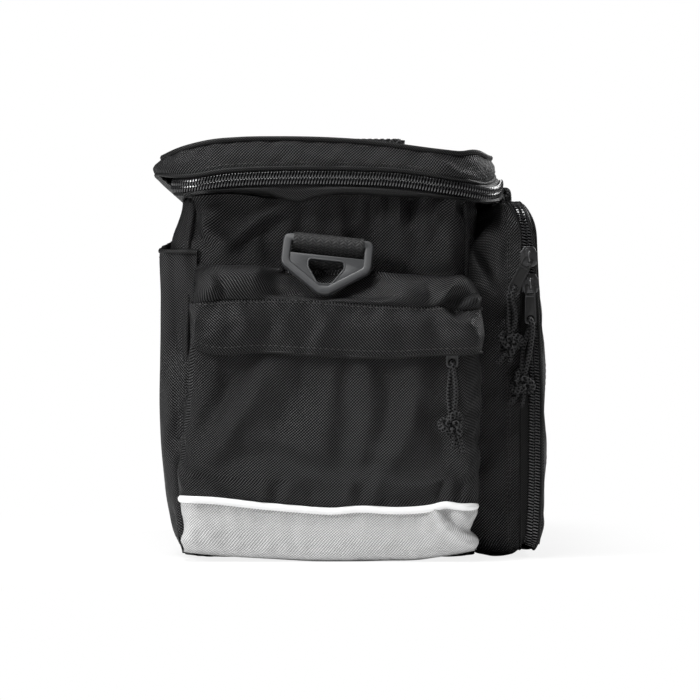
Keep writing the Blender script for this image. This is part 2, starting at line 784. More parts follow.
# ---------------------------------------------------------------- lid
LID_BACK = smooth(0.2, 0.9, -PATH[:, NX])[:, None]
LID_FRONT = smooth(0.2, 0.9, PATH[:, NX])[:, None]
LID_SPREAD = 0.5 * LID_BACK - 4.4 * LID_FRONT
LID_MIDDLE = PATH[:, :2] * (0.15, 0.42)  # small outline that the top panel's rings end on
# height, width, crest (x, z)
LID_END_FOLDS = [
    (1.6, 3.0, (52, 222), (60, 214), (74, 209)),
    (-1.4, 3.5, (58, 219), (72, 213), (86, 207)),
    (-1.4, 4.0, (-84, 209), (-60, 213), (-40, 212))]
HANDLE_WIDTH, HANDLE_X, HANDLE_Z = 38, 4, 230.2


def toward(edge, middle, share):
    """x and y of rings from an edge (share 0) to a middle outline (share 1)."""
    share = share[..., None]
    xy = edge[:, None, :2] * (1 - share) + middle[:, None] * share
    return xy[..., 0], xy[..., 1]


def lid_gusset():
    """Side of the lid from hem to top seam, leaning in. Returns its foot and top edges."""
    rise = np.linspace(0, 1, 15)[None]
    swell = np.sin(pi * rise)
    foot = COIL_Z + 5.6
    z = foot + (SEAM_Z - foot) * rise
    lean = (6.0 - 2.2 * LID_BACK - 3.6 * LID_FRONT) * rise ** (1.6 + 2.0 * LID_BACK)
    sheet = around(15.2 + LID_SPREAD - lean + (1.6 - 1.0 * LID_FRONT) * swell, z)
    x, y, _ = split(sheet)
    dent = waves(PATH_RUN, z, 3, 26, stretch=(2.2, 1)) * 0.9 * swell
    dent = dent + swell * smooth(104, 122, np.abs(y)) * folds(x, z, LID_END_FOLDS)
    sheet = sheet + normals(sheet, True) * dent[..., None]
    sheet = cloth(sheet, pins(sheet, cols=()), closed=True, seed=5, frames=14, shrink=-0.022,
                  low=-1.6, high=1.6, jitter=0.25)
    shells = Shells()
    shells.sheet(sheet, stack(PATH_RUN, z) * MM, 1.2, closed=True)
    finish(shells, "lid_side_gusset", [FABRIC], "lid", "black_fabric", "lid_gusset")
    return sheet[:, 0], sheet[:, -1]


def lid_hem(foot_edge):
    """Rolled hem at the foot of the gusset, with its row of stitches."""
    shells = Shells()
    shells.tube(around(14.9 + LID_SPREAD, COIL_Z + 5.4)[:, 0], 1.25, 8, step=2.2, closed=True)
    stitches(shells, foot_edge + [0, 0, 2.6], PATH_OUT, sink=0.25)
    finish(shells, "lid_hem_binding", [BINDING, THREAD], "lid", "black_fabric")


def lid_piping(top_edge):
    shells = Shells()
    shells.tube(top_edge + [0, 0, 0.5], 1.55, 8, step=2.2, closed=True)
    finish(shells, "lid_top_piping", [BINDING], "lid", "black_fabric")


def lid_cover(top_edge):
    """Domed top panel, with stitches just inside its edge."""
    share = np.linspace(0, 1, 30)[None]
    x, y = toward(top_edge, LID_MIDDLE, share)
    dome = (1 - share) ** 1.5
    z = top_edge[:, None, 2] * dome + 227.0 * (1 - dome)
    z = z + (waves(x, y, 9, 38) * 1.0 * smooth(0, 0.25, share)
             + waves(x, y, 19, 14) * 0.35 * smooth(0, 0.12, share) * (1 - smooth(0.3, 0.7, share)))
    # the seam's stitching pulls the edge down a little
    z = z - 0.8 * np.exp(-((share * 60 - 5) / 2.0) ** 2)
    sheet = stack(x, y, z)
    shells = Shells()
    shells.disc(sheet, 1.4, up=1)
    stitches(shells, sheet[:, 5] * 0.6 + sheet[:, 6] * 0.4, UP, sink=0.05)
    finish(shells, "lid_top_cover", [FABRIC, THREAD], "lid", "black_fabric", "lid_top_panel")


def lid_underside():
    share = np.linspace(0, 1, 16)[None]
    middle_z = 212.0
    edge = around(12.4 - 4.0 * LID_FRONT, middle_z)[:, 0]
    x, y = toward(edge, LID_MIDDLE, share)
    z = (np.minimum(COIL_Z + 8.6, 212.4) - 1.2 * np.sin(pi * np.clip(share * 1.3, 0, 1))
         + waves(x, y, 4, 30) * 0.5 * share)
    z = z + (middle_z - z) * smooth(0.3, 1, share)
    shells = Shells()
    shells.disc(stack(x, y, z), 1.0, up=-1, centre=(0, 0, 230))
    finish(shells, "lid_padded_lining", [LINING], "lid", "lining", "lid_lining", "lid_foam")


def carry_handle():
    """Webbing along the lid, bowed up in the middle and sewn flat at both ends."""
    y = np.linspace(-97, 97, 98)
    across = np.linspace(0, HANDLE_WIDTH, 12)
    half = HANDLE_WIDTH / 2
    to_end = np.clip((np.abs(y) - 12) / 62, 0, 1)
    bow = 5.2 * (0.5 + 0.5 * np.cos(pi * to_end))
    edge = (np.abs(across - half) / half) ** 4
    ripple = 0.35 * np.sin(y / 9) * (1 - to_end) * 0.5
    sheet = stack(HANDLE_X + across + 0.6 * np.sin(y / 40)[:, None], y[:, None],
                  HANDLE_Z + bow[:, None] - 0.35 * edge - 0.02 * (across - half)
                  + ripple[:, None])
    run = run_length(np.stack([y, bow], 1))
    shells = Shells()
    shells.sheet(sheet, stack(across + 0.7, run[:, None]) * MM, 1.9)
    left, right = 7, 39
    for side in (-1, 1):
        # a stitched box with both diagonals
        outer, inner = side * 94.5, side * 72
        a, b, c, d = (left, outer), (right, outer), (right, inner), (left, inner)
        for start, end in ((a, b), (b, c), (c, d), (d, a), (a, c), (b, d)):
            share = np.linspace(0, 1, 16)[:, None]
            line = np.array(start) * (1 - share) + np.array(end) * share
            z = np.interp(line[:, 1], y, HANDLE_Z + bow)
            stitches(shells, np.column_stack([line, z + 0.05]), UP, radius=0.3)
    finish(shells, "carry_handle_webbing", [WEBBING, THREAD], "lid", "webbing", "carry_handle")


def build_lid():
    foot_edge, top_edge = lid_gusset()
    lid_hem(foot_edge)
    lid_piping(top_edge)
    lid_cover(top_edge)
    lid_underside()
    carry_handle()


def lid_zip():
    """Upper row of coil and tape on the lid, lower row on the bag; it stops at the hinge."""
    used = FROM_FRONT <= 158
    path, coil_z = PATH[used], COIL_Z[used]
    run = (path[:, RUN] - path[0, RUN])[:, None]
    # both ends turn in to meet the hinge
    tuck = TUCK[used] + 3.6 * smooth(140, 156, FROM_FRONT[used])[:, None]
    line = around(14.6 - tuck, coil_z, path)[:, 0]
    front = LID_FRONT[used]
    # name, side of the coil, moving part, piece, heights over the tape, its lean at the front
    for name, side, body, piece, heights, lean in (
            ("lid_zip_upper_row", 1, "lid", "lid_zip_upper_half",
             (0.9, 3.4, 4.6, 5.9), (0, 0.5, 2.0, 3.6)),
            ("lid_zip_lower_row", -1, "bag", "lid_zip_lower_half",
             (0.9, 3.0, 4.4, 5.4), (0, 0, 0, 0))):
        shells = Shells()
        teeth(shells, line, UP * side, PATH_OUT[used], phase=0.0 if side > 0 else 0.5, outer=3.7)
        out = np.array([13.5, 13.6, 13.9, 14.1]) - front * np.array(lean)
        heights = side * np.array(heights)
        shells.sheet(around(out - tuck, coil_z + heights, path), stack(run, heights) * MM, 0.5,
                     slot=1)
        finish(shells, name, [COIL, TAPE], body, "zip_coil", piece)


# offset from the wall, share of the band's drop
BAND_PROFILE = [
    (14.3, 0.0), (15.2, 0.18), (15.6, 0.4), (15.3, 0.66), (14.4, 0.86), (12.9, 0.97),
    (11.0, 1.0), (7.5, 0.97), (3.5, 0.93), (1.0, 1.0), (0.9, 1.35)]
# share of the hinge's height, offset from the wall
HINGE_PROFILE = [
    (0, 0.8), (0.14, 3.8), (0.32, 7.4), (0.5, 10.2), (0.7, 12.6), (0.88, 14.8), (1.0, 15.4)]


def zip_band():
    """Smooth band below the lid zip, flaring out from the top of the walls."""
    profile, drop = np.array(BAND_PROFILE).T
    top = COIL_Z - 4.6
    z = top - (top - BAND_FOOT_Z) * drop
    out = profile + waves(PATH_RUN, z, 12, 24, stretch=(1.5, 1)) * 0.6
    # drawn in at the back, where there is no zip to hold it out
    back = np.clip(smooth(140, 157, FROM_FRONT) + (FROM_FRONT > 178), 0, 1)[:, None]
    pinch = 1 - smooth(116, 138, FROM_FRONT)[:, None] * smooth(0.2, 0.6, drop) * 0.62
    drawn = (out - TUCK * 1.1) * (1 - 0.95 * back) * np.clip(pinch, 0.38, 1)
    out = np.where(out > 2, np.maximum(0.6, drawn), out)
    run = run_length(np.stack([profile, drop * 8], 1))
    shells = Shells()
    shells.sheet(around(out, z), stack(PATH_RUN, run) * MM, 0.9, closed=True)
    finish(shells, "zip_band", [BINDING], "bag", "black_fabric", "top_skirt")


def lid_hinge():
    """Fabric along the back, where the zip stops."""
    angle = PATH[:, ANGLE]
    used = np.concatenate([np.nonzero(angle >= 516.5)[0], np.nonzero(angle <= 203.5)[0]])
    share = np.linspace(0, 1, 12)[None]
    z = COIL_Z[used] - 4.4 + share * 10.8 - 1.2 * np.sin(pi * share)
    out = table(share, HINGE_PROFILE) - 0.6 * TUCK[used] * smooth(1.0, 0.45, share)
    sheet = around(out, z, PATH[used])
    shells = Shells()
    shells.sheet(sheet, stack(run_length(sheet[:, 0])[:, None], share * 11.2) * MM, 0.9)
    finish(shells, "lid_hinge_fabric", [FABRIC],
           ("bag", "lid", (-0.095, 0, 0.2005), (-0.095, 0, 0.2098)),
           "black_fabric", "lid_hinge_strip")


# ---------------------------------------------------------------- body walls
# name, first angle, last angle, piece
WALLS = [
    ("near_end_wall", 225, 315, "near_end_panel"), ("front_wall", 315, 405, "front_wall_panel"),
    ("far_end_wall", 405, 495, "far_end_panel"), ("back_wall", 495, 585, "back_wall_panel")]
WALL_FOOT = 2.0
# top edge of an end wall: x, z
END_WALL_TOP = [
    (-94, 196), (-80, 196.4), (-53, 198.0), (-30, 195.4), (-18, 195.0), (0, 197.4),
    (38, 197.0), (65, 195.4), (81, 194.6)]
# height, width, crest (x, z)
END_WALL_FOLDS = [
    (4.0, 5.0, (-12, 194), (-36, 186), (-55, 171)),
    (-3.0, 4.0, (-14, 189), (-40, 178), (-52, 165)),
    (2.5, 4.0, (-55, 198), (-66, 182), (-70, 165)),
    (1.4, 3.0, (24, 196), (18, 186), (10, 180)),
    (2.6, 3.2, (64, 195), (70, 184), (71, 170)),
    (-1.6, 2.6, (58, 193), (63, 184)),
    (-2.2, 2.0, (-72.5, 194), (-71, 176), (-56, 163.5)),
    (1.6, 2.6, (-68, 190), (-65, 178), (-52, 168))]
# small gathers under the band: x, lean, length, width, height
END_WALL_GATHERS = [
    (16, 1, 7, 1.6, 0.8), (22, -1, 10, 1.7, -0.9), (28, 0, 12, 1.7, 1.3), (33, -2, 11, 1.6, -1.2),
    (38.5, -1, 14, 1.7, 1.5), (44, 1, 12, 1.6, -1.4), (49, -3, 16, 2.0, 1.6),
    (55, 0, 14, 1.8, -1.5), (60, -2, 15, 1.8, 1.5), (65, 2, 10, 1.5, -1.0), (4, -4, 8, 2.0, 0.7),
    (-36, 3, 8, 2.2, 0.7), (-44, -2, 7, 2.0, -0.7)]


def wall(path, name, first, last, piece, seed):
    """One wall, gathered under the band. Returns its two upright edges."""
    is_end = "end" in name
    overlap = 2.6
    angle = path[:, ANGLE]
    path = np.concatenate([path[(angle >= first - overlap) & (angle <= last + overlap)],
                           path[angle <= last - 360 + overlap]])
    run = run_length(path[:, :2])[:, None]
    rise = np.linspace(0, 1, 72)[None]
    top = table(path[:, PX], END_WALL_TOP)[:, None] if is_end else 196.6
    z = WALL_FOOT + (top - WALL_FOOT) * rise + 0 * run
    x = path[:, PX, None] + 0 * rise
    out = 0.2 + 1.6 * np.sin(pi * rise)
    below = top - z
    if is_end:
        hang = np.exp(-below / 11.0) * smooth(-6, 8, x) + 0.35 * np.exp(-below / 8.0)
        out = out + hang * 3.4 * (waves(run, 0.25 * z, seed, 5.0) + 0.25)
        out = out + folds(x, z, END_WALL_FOLDS) + 2.5 * np.exp(-below / 6.0)
    else:
        out = out + np.exp(-below / 9.0) * 1.5 * waves(run, 0.25 * z, seed, 7)
    out = out + waves(run, z, seed + 5, 26) * 0.9
    # the back wall swells out
    back = smooth(0.45, 0.85, -path[:, NX])[:, None]
    out = out + 5.4 * back * smooth(197, 166, z) * smooth(16, 90, z)
    sheet = around(out, z, path)
    pin = pins(sheet)
    sheet = cloth(sheet, pin, seed=seed, frames=16, shrink=-0.030, low=-2.0, high=2.6)
    if is_end:
        x, y, cloth_z = split(sheet)
        gathers = 0
        for place, lean, length, width, height in END_WALL_GATHERS:
            row = (height * 1.7, width, (place, 197), (place + lean, 197 - length))
            gathers = gathers + (folds(x, cloth_z, [row], taper=False)
                                 * smooth(196 - length * 1.5, 193, cloth_z))
        sheet[..., 1] += np.sign(y) * gathers * (1 - pin)
    shells = Shells()
    shells.sheet(sheet, stack(path[0, RUN] + run, z) * MM, 1.2)
    finish(shells, name, [FABRIC], "bag", "black_fabric", piece)
    return sheet[0], sheet[-1]


def corner_seams(edges):
    """A narrow turned edge over the join between each wall and the next."""
    shells = Shells()
    for i in range(4):
        a, b = edges[i][1], edges[(i + 1) % 4][0]
        gap = np.linalg.norm(a - b, axis=1)[4:-4].mean()
        radius = min(2.6, max(1.0, 0.5 * gap + 0.7))
        shells.tube(((a + b) / 2)[1:-1:3], radius, 10, step=3)
    finish(shells, "corner_seams", [FABRIC], "bag", "black_fabric")


def base_cover():
    """Padded underside with a bound edge, raised at the corners."""
    path = plan(step=3.0, out=0.0)
    share = np.linspace(0, 1, 22)[None]
    edge = around(-0.2, 0.0, path)[:, 0]
    x, y = toward(edge, path[:, :2] * (0.1, 0.4), share)
    lift = (4.2 * smooth(112, 126, np.abs(y)) * smooth(20, 80, np.abs(x))
            + 1.2 * smooth(66, 80, np.abs(x)))
    z = 0.2 + lift * (1 - share) ** 2 + 0.25 * (1 + waves(x, y, 8, 30)) * share
    shells = Shells()
    shells.disc(stack(x, y, z), 1.3, up=-1, centre=(0, 0, 60))
    edge[:, 2] = 2.6 + lift[:, 0]
    shells.tube(edge, 1.5, 8, step=3.0, slot=1, closed=True)
    finish(shells, "base_cover", [FABRIC, BINDING], "bag", "black_fabric", "base_panel")


def main_lining():
    """Lining over padding: walls, floor and a bound rim."""
    path = plan(step=3.0, out=-7.0)
    z = np.concatenate([np.linspace(198.5, 190, 5), np.linspace(184, 8, 30)])
    out = np.where(z > 189, np.interp(z, [190, 198.5], [-6.4, -1.6]), -7.6)
    run = path[:, RUN][:, None]
    out = out - 0.9 * np.abs(waves(run, z, 61, 22)) * (z < 189)
    sheet = around(out, z, path)
    shells = Shells()
    shells.sheet(sheet, stack(run, z) * MM, 1.0, closed=True, outward=False)
    share = np.linspace(0, 1, 14)[None]
    x, y = toward(sheet[:, -1], path[:, :2] * (0.1, 0.4), share)
    floor_z = 8.0 - 1.0 * smooth(0, 0.2, share) + 0.4 * waves(x, y, 77, 40) * smooth(0, 0.3, share)
    shells.disc(stack(x, y, floor_z), 1.0, up=1, centre=(0, 0, -60))
    shells.tube(sheet[:, 0] + [0, 0, 0.2], 1.3, 8, step=3.0, slot=1, closed=True)
    finish(shells, "main_compartment_lining", [LINING, BINDING], "bag", "lining",
           "inner_lining", "wall_foam")


def build_walls():
    path = plan(step=2.0, out=0.0)
    corner_seams([wall(path, *row, seed) for seed, row in enumerate(WALLS, 31)])
    base_cover()
    main_lining()


# ---------------------------------------------------------------- end pockets
# Built at the near end and mirrored. Their back and front sides: z, x
POCKET_BACK_SIDE = [
    (2, -77.5), (8, -79.6), (15, -77.8), (25, -79.6), (33, -80.4), (60, -78.6), (90, -76.0),
    (125, -74.0), (160, -72.5)]
POCKET_FRONT_SIDE = [
    (2, 78.5), (7.5, 80.6), (11.6, 78.2), (14.5, 75.8), (18.5, 76.6), (26, 79.8), (30, 80.0),
    (60, 80.8), (90, 81.3), (125, 81.6), (160, 80.5)]
# Piping, foot of the grey band, and edges of roof and flap: x, z
PIPING_LINE = [
    (-81, 33.6), (-62.5, 33.0), (-42, 30.8), (-15.5, 28.4), (1.6, 27.4), (15, 28.4), (38, 27.6),
    (55, 29.0), (62, 30.6), (71, 29.6), (81, 29.6)]
BAND_FOOT = [
    (-81, 6.0), (-60, 3.8), (-31, 1.9), (0, 0.4), (30, 0.9), (48, 1.4), (60, 3.2), (80, 6.8)]
ROOF_WALL_LINE = [
    (-73, 157.5), (-54, 158.8), (-32, 157.4), (0, 155.6), (24, 154.0), (55, 151.4),
    (75, 149.2), (81, 145.5)]
ROOF_FRONT_LINE = [
    (-73, 137.5), (-58, 138.8), (-24, 139.6), (24, 136.6), (50, 135.4), (81, 134.6)]
FLAP_TOP = [(-73, 137.8), (-58, 139.1), (-24, 139.9), (24, 136.9), (50, 135.7), (81, 134.9)]
FLAP_FOOT = [
    (-72, 116.4), (-66, 113.6), (-40, 113.2), (-10, 111.6), (25, 110.6), (45, 111.0),
    (60, 111.6), (72, 111.8), (81, 112.4)]
# Folds: height, width, crest (x, z)
POUCH_FOLDS = [
    (2.2, 9.0, (-22, 116), (-40, 92), (-62, 60), (-68, 45)),
    (-2.3, 7.0, (-40, 113), (-52, 92), (-70, 70)),
    (-1.6, 8.5, (-8, 112), (-22, 85), (-30, 62)),
    (0.7, 6.0, (2, 108), (-2, 75), (0, 48)),
    (-0.7, 6.5, (10, 112), (9, 80), (8, 50)),
    (0.7, 5.5, (22, 104), (20, 70), (14, 44)),
    (-1.4, 7.0, (32, 113), (33, 85), (30, 60)),
    (1.7, 6.0, (46, 98), (42, 72), (28, 48)),
    (-2.4, 7.0, (56, 96), (62, 70), (66, 42))]
BAND_FOLDS = [
    (-0.9, 3.0, (-76, 26), (-70, 14), (-66, 6)),
    (0.9, 3.4, (-71, 30), (-64, 16), (-58, 6))]
BAND_TUCKS = [
    (2.6, 2.6, (56, 29), (61, 21), (70, 13), (79, 8)),
    (-2.6, 2.4, (62, 27), (68, 19), (80, 15)),
    (1.2, 1.8, (70, 26), (76, 21), (81, 19))]
ROOF_FOLDS = [
    (2.8, 2.4, (70, 149), (63, 143), (58, 137)),
    (-3.2, 2.4, (76, 146), (70, 141), (66, 136)),
    (3.0, 2.2, (81, 143), (78, 140), (74, 135)),
    (-1.8, 3.0, (50, 150), (54, 144), (53, 138)),
    (2.6, 2.6, (-66, 153), (-62, 146), (-68, 138)),
    (-2.2, 2.4, (-58, 152), (-56, 145), (-60, 139)),
    (-1.4, 3.0, (-48, 153), (-38, 148), (-34, 141)),
    (1.2, 3.2, (-30, 154), (-20, 148), (-8, 141)),
    (-1.2, 3.0, (26, 151), (36, 145), (40, 138))]
FLAP_FOLDS = [
    (1.6, 4.0, (-56, 137), (-44, 127), (-52, 114)),
    (-1.4, 4.0, (-40, 137), (-30, 128), (-36, 114)),
    (1.2, 4, (66, 123), (76, 122), (83, 118)),
    (-1.4, 3.6, (50, 134), (58, 124), (62, 115)),
    (1.0, 3.6, (-6, 137), (0, 128), (-10, 115))]
FLAP_TUCKS = [
    (2.4, 2.8, (55, 141), (63, 131), (73, 127)),
    (-2.4, 2.4, (63, 141), (68, 133), (81, 139))]
# Gathers: x, height
POUCH_GATHERS = [
    (-36, 1), (-29, -1), (-22, 1), (-10, -0.7), (9, 1), (16, -1), (24, 0.8), (58, -0.8),
    (64, 1.2), (69, -0.9)]
BAND_GATHERS = [(-52, 0.5), (-38, -0.5), (-14, 0.5), (18, 0.4), (50, 0.4)]


def pocket_plan(left, right, depth, corner, front_count):
    """x and y round a pocket seen in plan: wall, corner, face, corner, wall."""
    side = np.linspace(0, 1, 8, endpoint=False)[:, None]
    share = np.linspace(0, 1, 7, endpoint=False)[:, None]
    turn, turn_back = share * pi / 2, (1 - share[::-1]) * pi / 2
    face = np.linspace(0, 1, front_count)[:, None]
    depth = depth + 0 * left
    straight = depth - corner
    x = np.concatenate([
        left + 0 * side, left + corner * (1 - np.cos(turn)),
        (left + corner) * (1 - face) + (right - corner) * face,
        right - corner + corner * np.sin(turn_back), right + 0 * side])
    y = np.concatenate([
        -straight * side, -straight - corner * np.sin(turn), -depth + 0 * face,
        -straight - corner * np.cos(turn_back), -straight * side[::-1]])
    return x, y


def pocket_sheet(z, depth=POCKET_DEPTH, front_count=76):
    x, y = pocket_plan(table(z, POCKET_BACK_SIDE), table(z, POCKET_FRONT_SIDE), depth,
                       POCKET_CORNER, front_count)
    return stack(x, END_WALL_Y + y, z)


def pocket_pouch():
    """Pouch from the piping up to its mouth; its sides run up to the roof."""
    rise = np.linspace(0, 1, 50)
    sheet = pocket_sheet(30 + rise * 89.4)
    x, y, z = split(sheet)
    foot = table(x, PIPING_LINE) + 1.0
    count = len(sheet)
    i = np.arange(count)
    side = 1 - smooth(8, 12, i) * smooth(count - 11, count - 17, i)
    top = 119.6 + side * np.where(x[:, 0] < 0, 19.0, 16.0)
    sheet[..., 2] = foot + (top[:, None] - foot) * rise
    bulge = (2.4 * np.sin(pi * np.clip((x + 80) / 161, 0, 1)) ** 0.6
             * np.sin(pi * np.clip(rise * 0.9 + 0.08, 0, 1)) ** 1.2)
    gathers = [(1.1 * height, 2.2, (place, 30), (place + 1.5, 42))
               for place, height in POUCH_GATHERS]
    bulge = (bulge + folds(x, z, POUCH_FOLDS)
             + folds(x, z, gathers, taper=False) * smooth(31, 34, z))
    sheet[..., 1] -= bulge * smooth(-140, -147, y)
    draped = cloth(sheet, pins(sheet), seed=41, frames=18, shrink=-0.028, low=-1.8, high=2.4)
    shells = Shells()
    shells.sheet(draped, arc_uv(sheet), 1.2)
    shells.tube(draped[:, -1] + [0, 0.2, 0.1], 1.1, 8, step=2.0, slot=1)
    finish_pair(shells, "pocket_pouch_fabric", [FABRIC, BINDING], "bag", "black_fabric",
                "pocket_pouch")


def pocket_piping():
    line = pocket_sheet(np.array([30.0]), depth=POCKET_DEPTH + 0.9)[:, 0]
    x = line[:, 0].copy()
    line[:, 2] = table(x, PIPING_LINE)
    line[:, 0] -= 1.5 * np.clip((x - 60) / 18, 0, 1) - 0.8 * np.clip((-60 - x) / 18, 0, 1)
    shells = Shells()
    shells.tube(line, 2.0, 12, step=1.6, up=UP)
    finish_pair(shells, "reflective_piping_cord", [PIPING], "bag", "reflective_piping",
                "reflective_piping")


def grey_band():
    """Band below the piping: tucked near the front of the bag, turned under at its foot."""
    rise = np.linspace(0, 1, 26)
    sheet = pocket_sheet(2 + rise * 27, front_count=96)
    x, y, z = split(sheet)
    top, foot = table(x, PIPING_LINE) - 1.0, table(x, BAND_FOOT)
    sheet[..., 2] = foot + (top - foot) * rise
    low = 1 - rise
    bulge = (1.6 * np.sin(pi * np.clip(rise * 0.8 + 0.15, 0, 1))
             - 3.0 * low ** 6 - 1.5 * low ** 20)
    gathers = [(height * 0.5, 3.4, (place, 30), (place + 2, 20))
               for place, height in BAND_GATHERS]
    bulge = (bulge + folds(x, z, BAND_TUCKS + gathers, taper=False) + folds(x, z, BAND_FOLDS)
             + waves(x, z, 51, 20, stretch=(1.6, 1)) * 0.8 * (1 - rise ** 4))
    sheet[..., 1] -= bulge * smooth(-140, -147, y)
    sheet = cloth(sheet, pins(sheet), seed=52, frames=12, shrink=-0.007, low=-0.6, high=0.6)
    share = np.linspace(0.12, 1, 8)[::-1]
    x, y, z = split(sheet[:, :1])
    under = stack(x, y + (END_WALL_Y + 2.0 - y) * share,
                  z - 0.9 * np.sin(pi * np.minimum(1, share * 2.2)) + share * (3.0 - z) * 0.25)
    sheet = np.concatenate([under, sheet], 1)
    shells = Shells()
    shells.sheet(sheet, arc_uv(sheet), 1.1, centre=(0, -110, 60))
    stitches(shells, sheet[6:-6, -3] * 0.5 + sheet[6:-6, -4] * 0.5, normals(sheet)[6:-6, -3],
             radius=0.22)
    finish_pair(shells, "grey_band_fabric", [GREY, GREY_THREAD], "bag", "grey_fabric",
                "grey_band")


def pocket_roof():
    """Roof of the pocket, gathered at its ends."""
    share = np.linspace(0, 1, 34)
    plan_x, plan_y = pocket_plan(np.full(34, -72.5), np.full(34, 81.2), 24.2, corner=9.0,
                                 front_count=84)
    wall_x = np.linspace(-73, 80.5, len(plan_x))[:, None]
    reach = np.sin(pi / 2 * share) ** 0.8
    x = wall_x * (1 - reach) + plan_x * reach
    wall_z = table(wall_x, ROOF_WALL_LINE)
    fall = (1 - np.cos(pi / 2 * share)) ** 1.35
    z = wall_z + (table(x, ROOF_FRONT_LINE) - wall_z) * fall
    sheet = stack(x, END_WALL_Y + plan_y * reach, z)
    puff = np.sin(pi * share) * smooth(0, 12, np.minimum(x + 73, 81.5 - x))
    bulge = (4.4 * puff + puff * 1.6 * waves(x, share * 26, 71, 15, stretch=(1.3, 1))
             + folds(x, z, ROOF_FOLDS))
    sheet = sheet + normals(sheet) * bulge[..., None]
    # kept back where the strap ring rests
    x, y, z = split(sheet)
    limit = -135.6 - (157.5 - z) * 0.72
    under_ring = smooth(40, 24, np.abs(x + 1)) * smooth(139, 144, z)
    sheet[..., 1] = y + under_ring * np.maximum(0, limit - y)
    draped = cloth(sheet, pins(sheet), seed=43, frames=16, shrink=-0.022, low=-1.4, high=1.2,
                   ease=3)
    # the top runs on into the wall seam
    sheet, draped = (np.concatenate([part[:, :1] + [0, 2.2, 3.2], part], 1)
                     for part in (sheet, draped))
    shells = Shells()
    shells.sheet(draped, arc_uv(sheet), 1.2)
    finish_pair(shells, "pocket_roof_fabric", [FABRIC], "bag", "black_fabric", "pocket_roof")


def storm_flap():
    """Flap stitched along its top, hemmed at its foot, wrapped round the front corner."""
    drop = np.linspace(0, 1, 24)
    back_corner, front_corner = 3.4, 7.5
    left, right = -74.6 + 1.8 * drop, 81.6 + 0 * drop
    depth = 25.6 + 3.0 * np.sin(pi * (drop * 0.8)) + 0.8 * drop
    turn = (np.linspace(0, 1, 9)[1:] * pi / 2)[:, None]
    side = np.linspace(0, 1, 8)[1:, None]
    face = np.linspace(0, 1, 78)[:, None]
    back_side = np.linspace(1, 0.2, 4)[:, None]
    x = np.concatenate([
        left + 0 * back_side, left + back_corner - back_corner * np.sin(turn[::-1]),
        left + back_corner + (right - front_corner - left - back_corner) * face,
        right - front_corner + front_corner * np.sin(turn), right + 0 * side])
    y = np.concatenate([
        -(depth - back_corner) + 11.0 * back_side,
        -(depth - back_corner) - back_corner * np.cos(turn[::-1]), -depth + 0 * face,
        -(depth - front_corner) - front_corner * np.cos(turn),
        -(depth - front_corner) + (depth - front_corner - 5.0) * side])
    top = table(x, FLAP_TOP) + 0.4
    z = top + (table(x, FLAP_FOOT) - top) * drop
    sheet = stack(x, END_WALL_Y + y, z)
    bulge = (waves(x, z, 81, 18, stretch=(1.5, 1)) * 1.1 * smooth(0, 0.25, drop)
             + folds(x, z, FLAP_FOLDS) + folds(x, z, FLAP_TUCKS, taper=False))
    sheet = sheet + normals(sheet) * bulge[..., None]
    # room for the slider at the far end of its run and for the cord as it swings
    room = (1.5 * smooth(-48, -62, x)
            + (1.2 + 1.4 * smooth(0.3, 0.8, drop)) * smooth(36, 50, x))
    sheet[..., 1] -= room * smooth(-140, -149, sheet[..., 1]) * smooth(0.1, 0.5, drop)
    draped = cloth(sheet, pins(sheet, rows=(0,), cols=()), seed=44, frames=14, shrink=-0.018,
                   low=-1.5, high=1.5)
    shells = Shells()
    shells.sheet(draped, arc_uv(sheet), 1.3)
    shells.tube(draped[:, -1] + [0, 0.7, 0.3], 0.95, 8, step=2.0, slot=2)
    shells.tube(draped[0] + [0.2, 0.6, 0], 1.0, 8, step=2.0, slot=2)
    normal = normals(draped)
    for column, radius in ((1, 0.26), (-4, 0.2)):
        stitches(shells, draped[8:-8, column], normal[8:-8, column], radius=radius)
    finish_pair(shells, "storm_flap_fabric", [FABRIC, THREAD, BINDING], "flap", "black_fabric",
                "pocket_flap")


def pocket_zip():
    """The zip under the flap."""
    x = np.linspace(-68.5, 71, 40)
    line = stack(x, POCKET_ZIP_Y, POCKET_ZIP_Z)
    for name, side, piece, reach in (("pocket_zip_upper_row", 1, "zip_upper_half", 6.2),
                                     ("pocket_zip_lower_row", -1, "zip_lower_half", 5.6)):
        shells = Shells()
        teeth(shells, line, UP * side, (0, -1.0, 0), phase=0 if side > 0 else 0.5,
              inner=-0.3, outer=3.4)
        z = POCKET_ZIP_Z + side * np.array([0.9, 3.4, reach])
        tape = stack(x[:, None], POCKET_ZIP_Y + 0.6, z)
        shells.sheet(tape, tape[..., [0, 2]] * MM, 0.5, slot=1)
        finish_pair(shells, name, [COIL, TAPE], "bag", "zip_coil", piece)


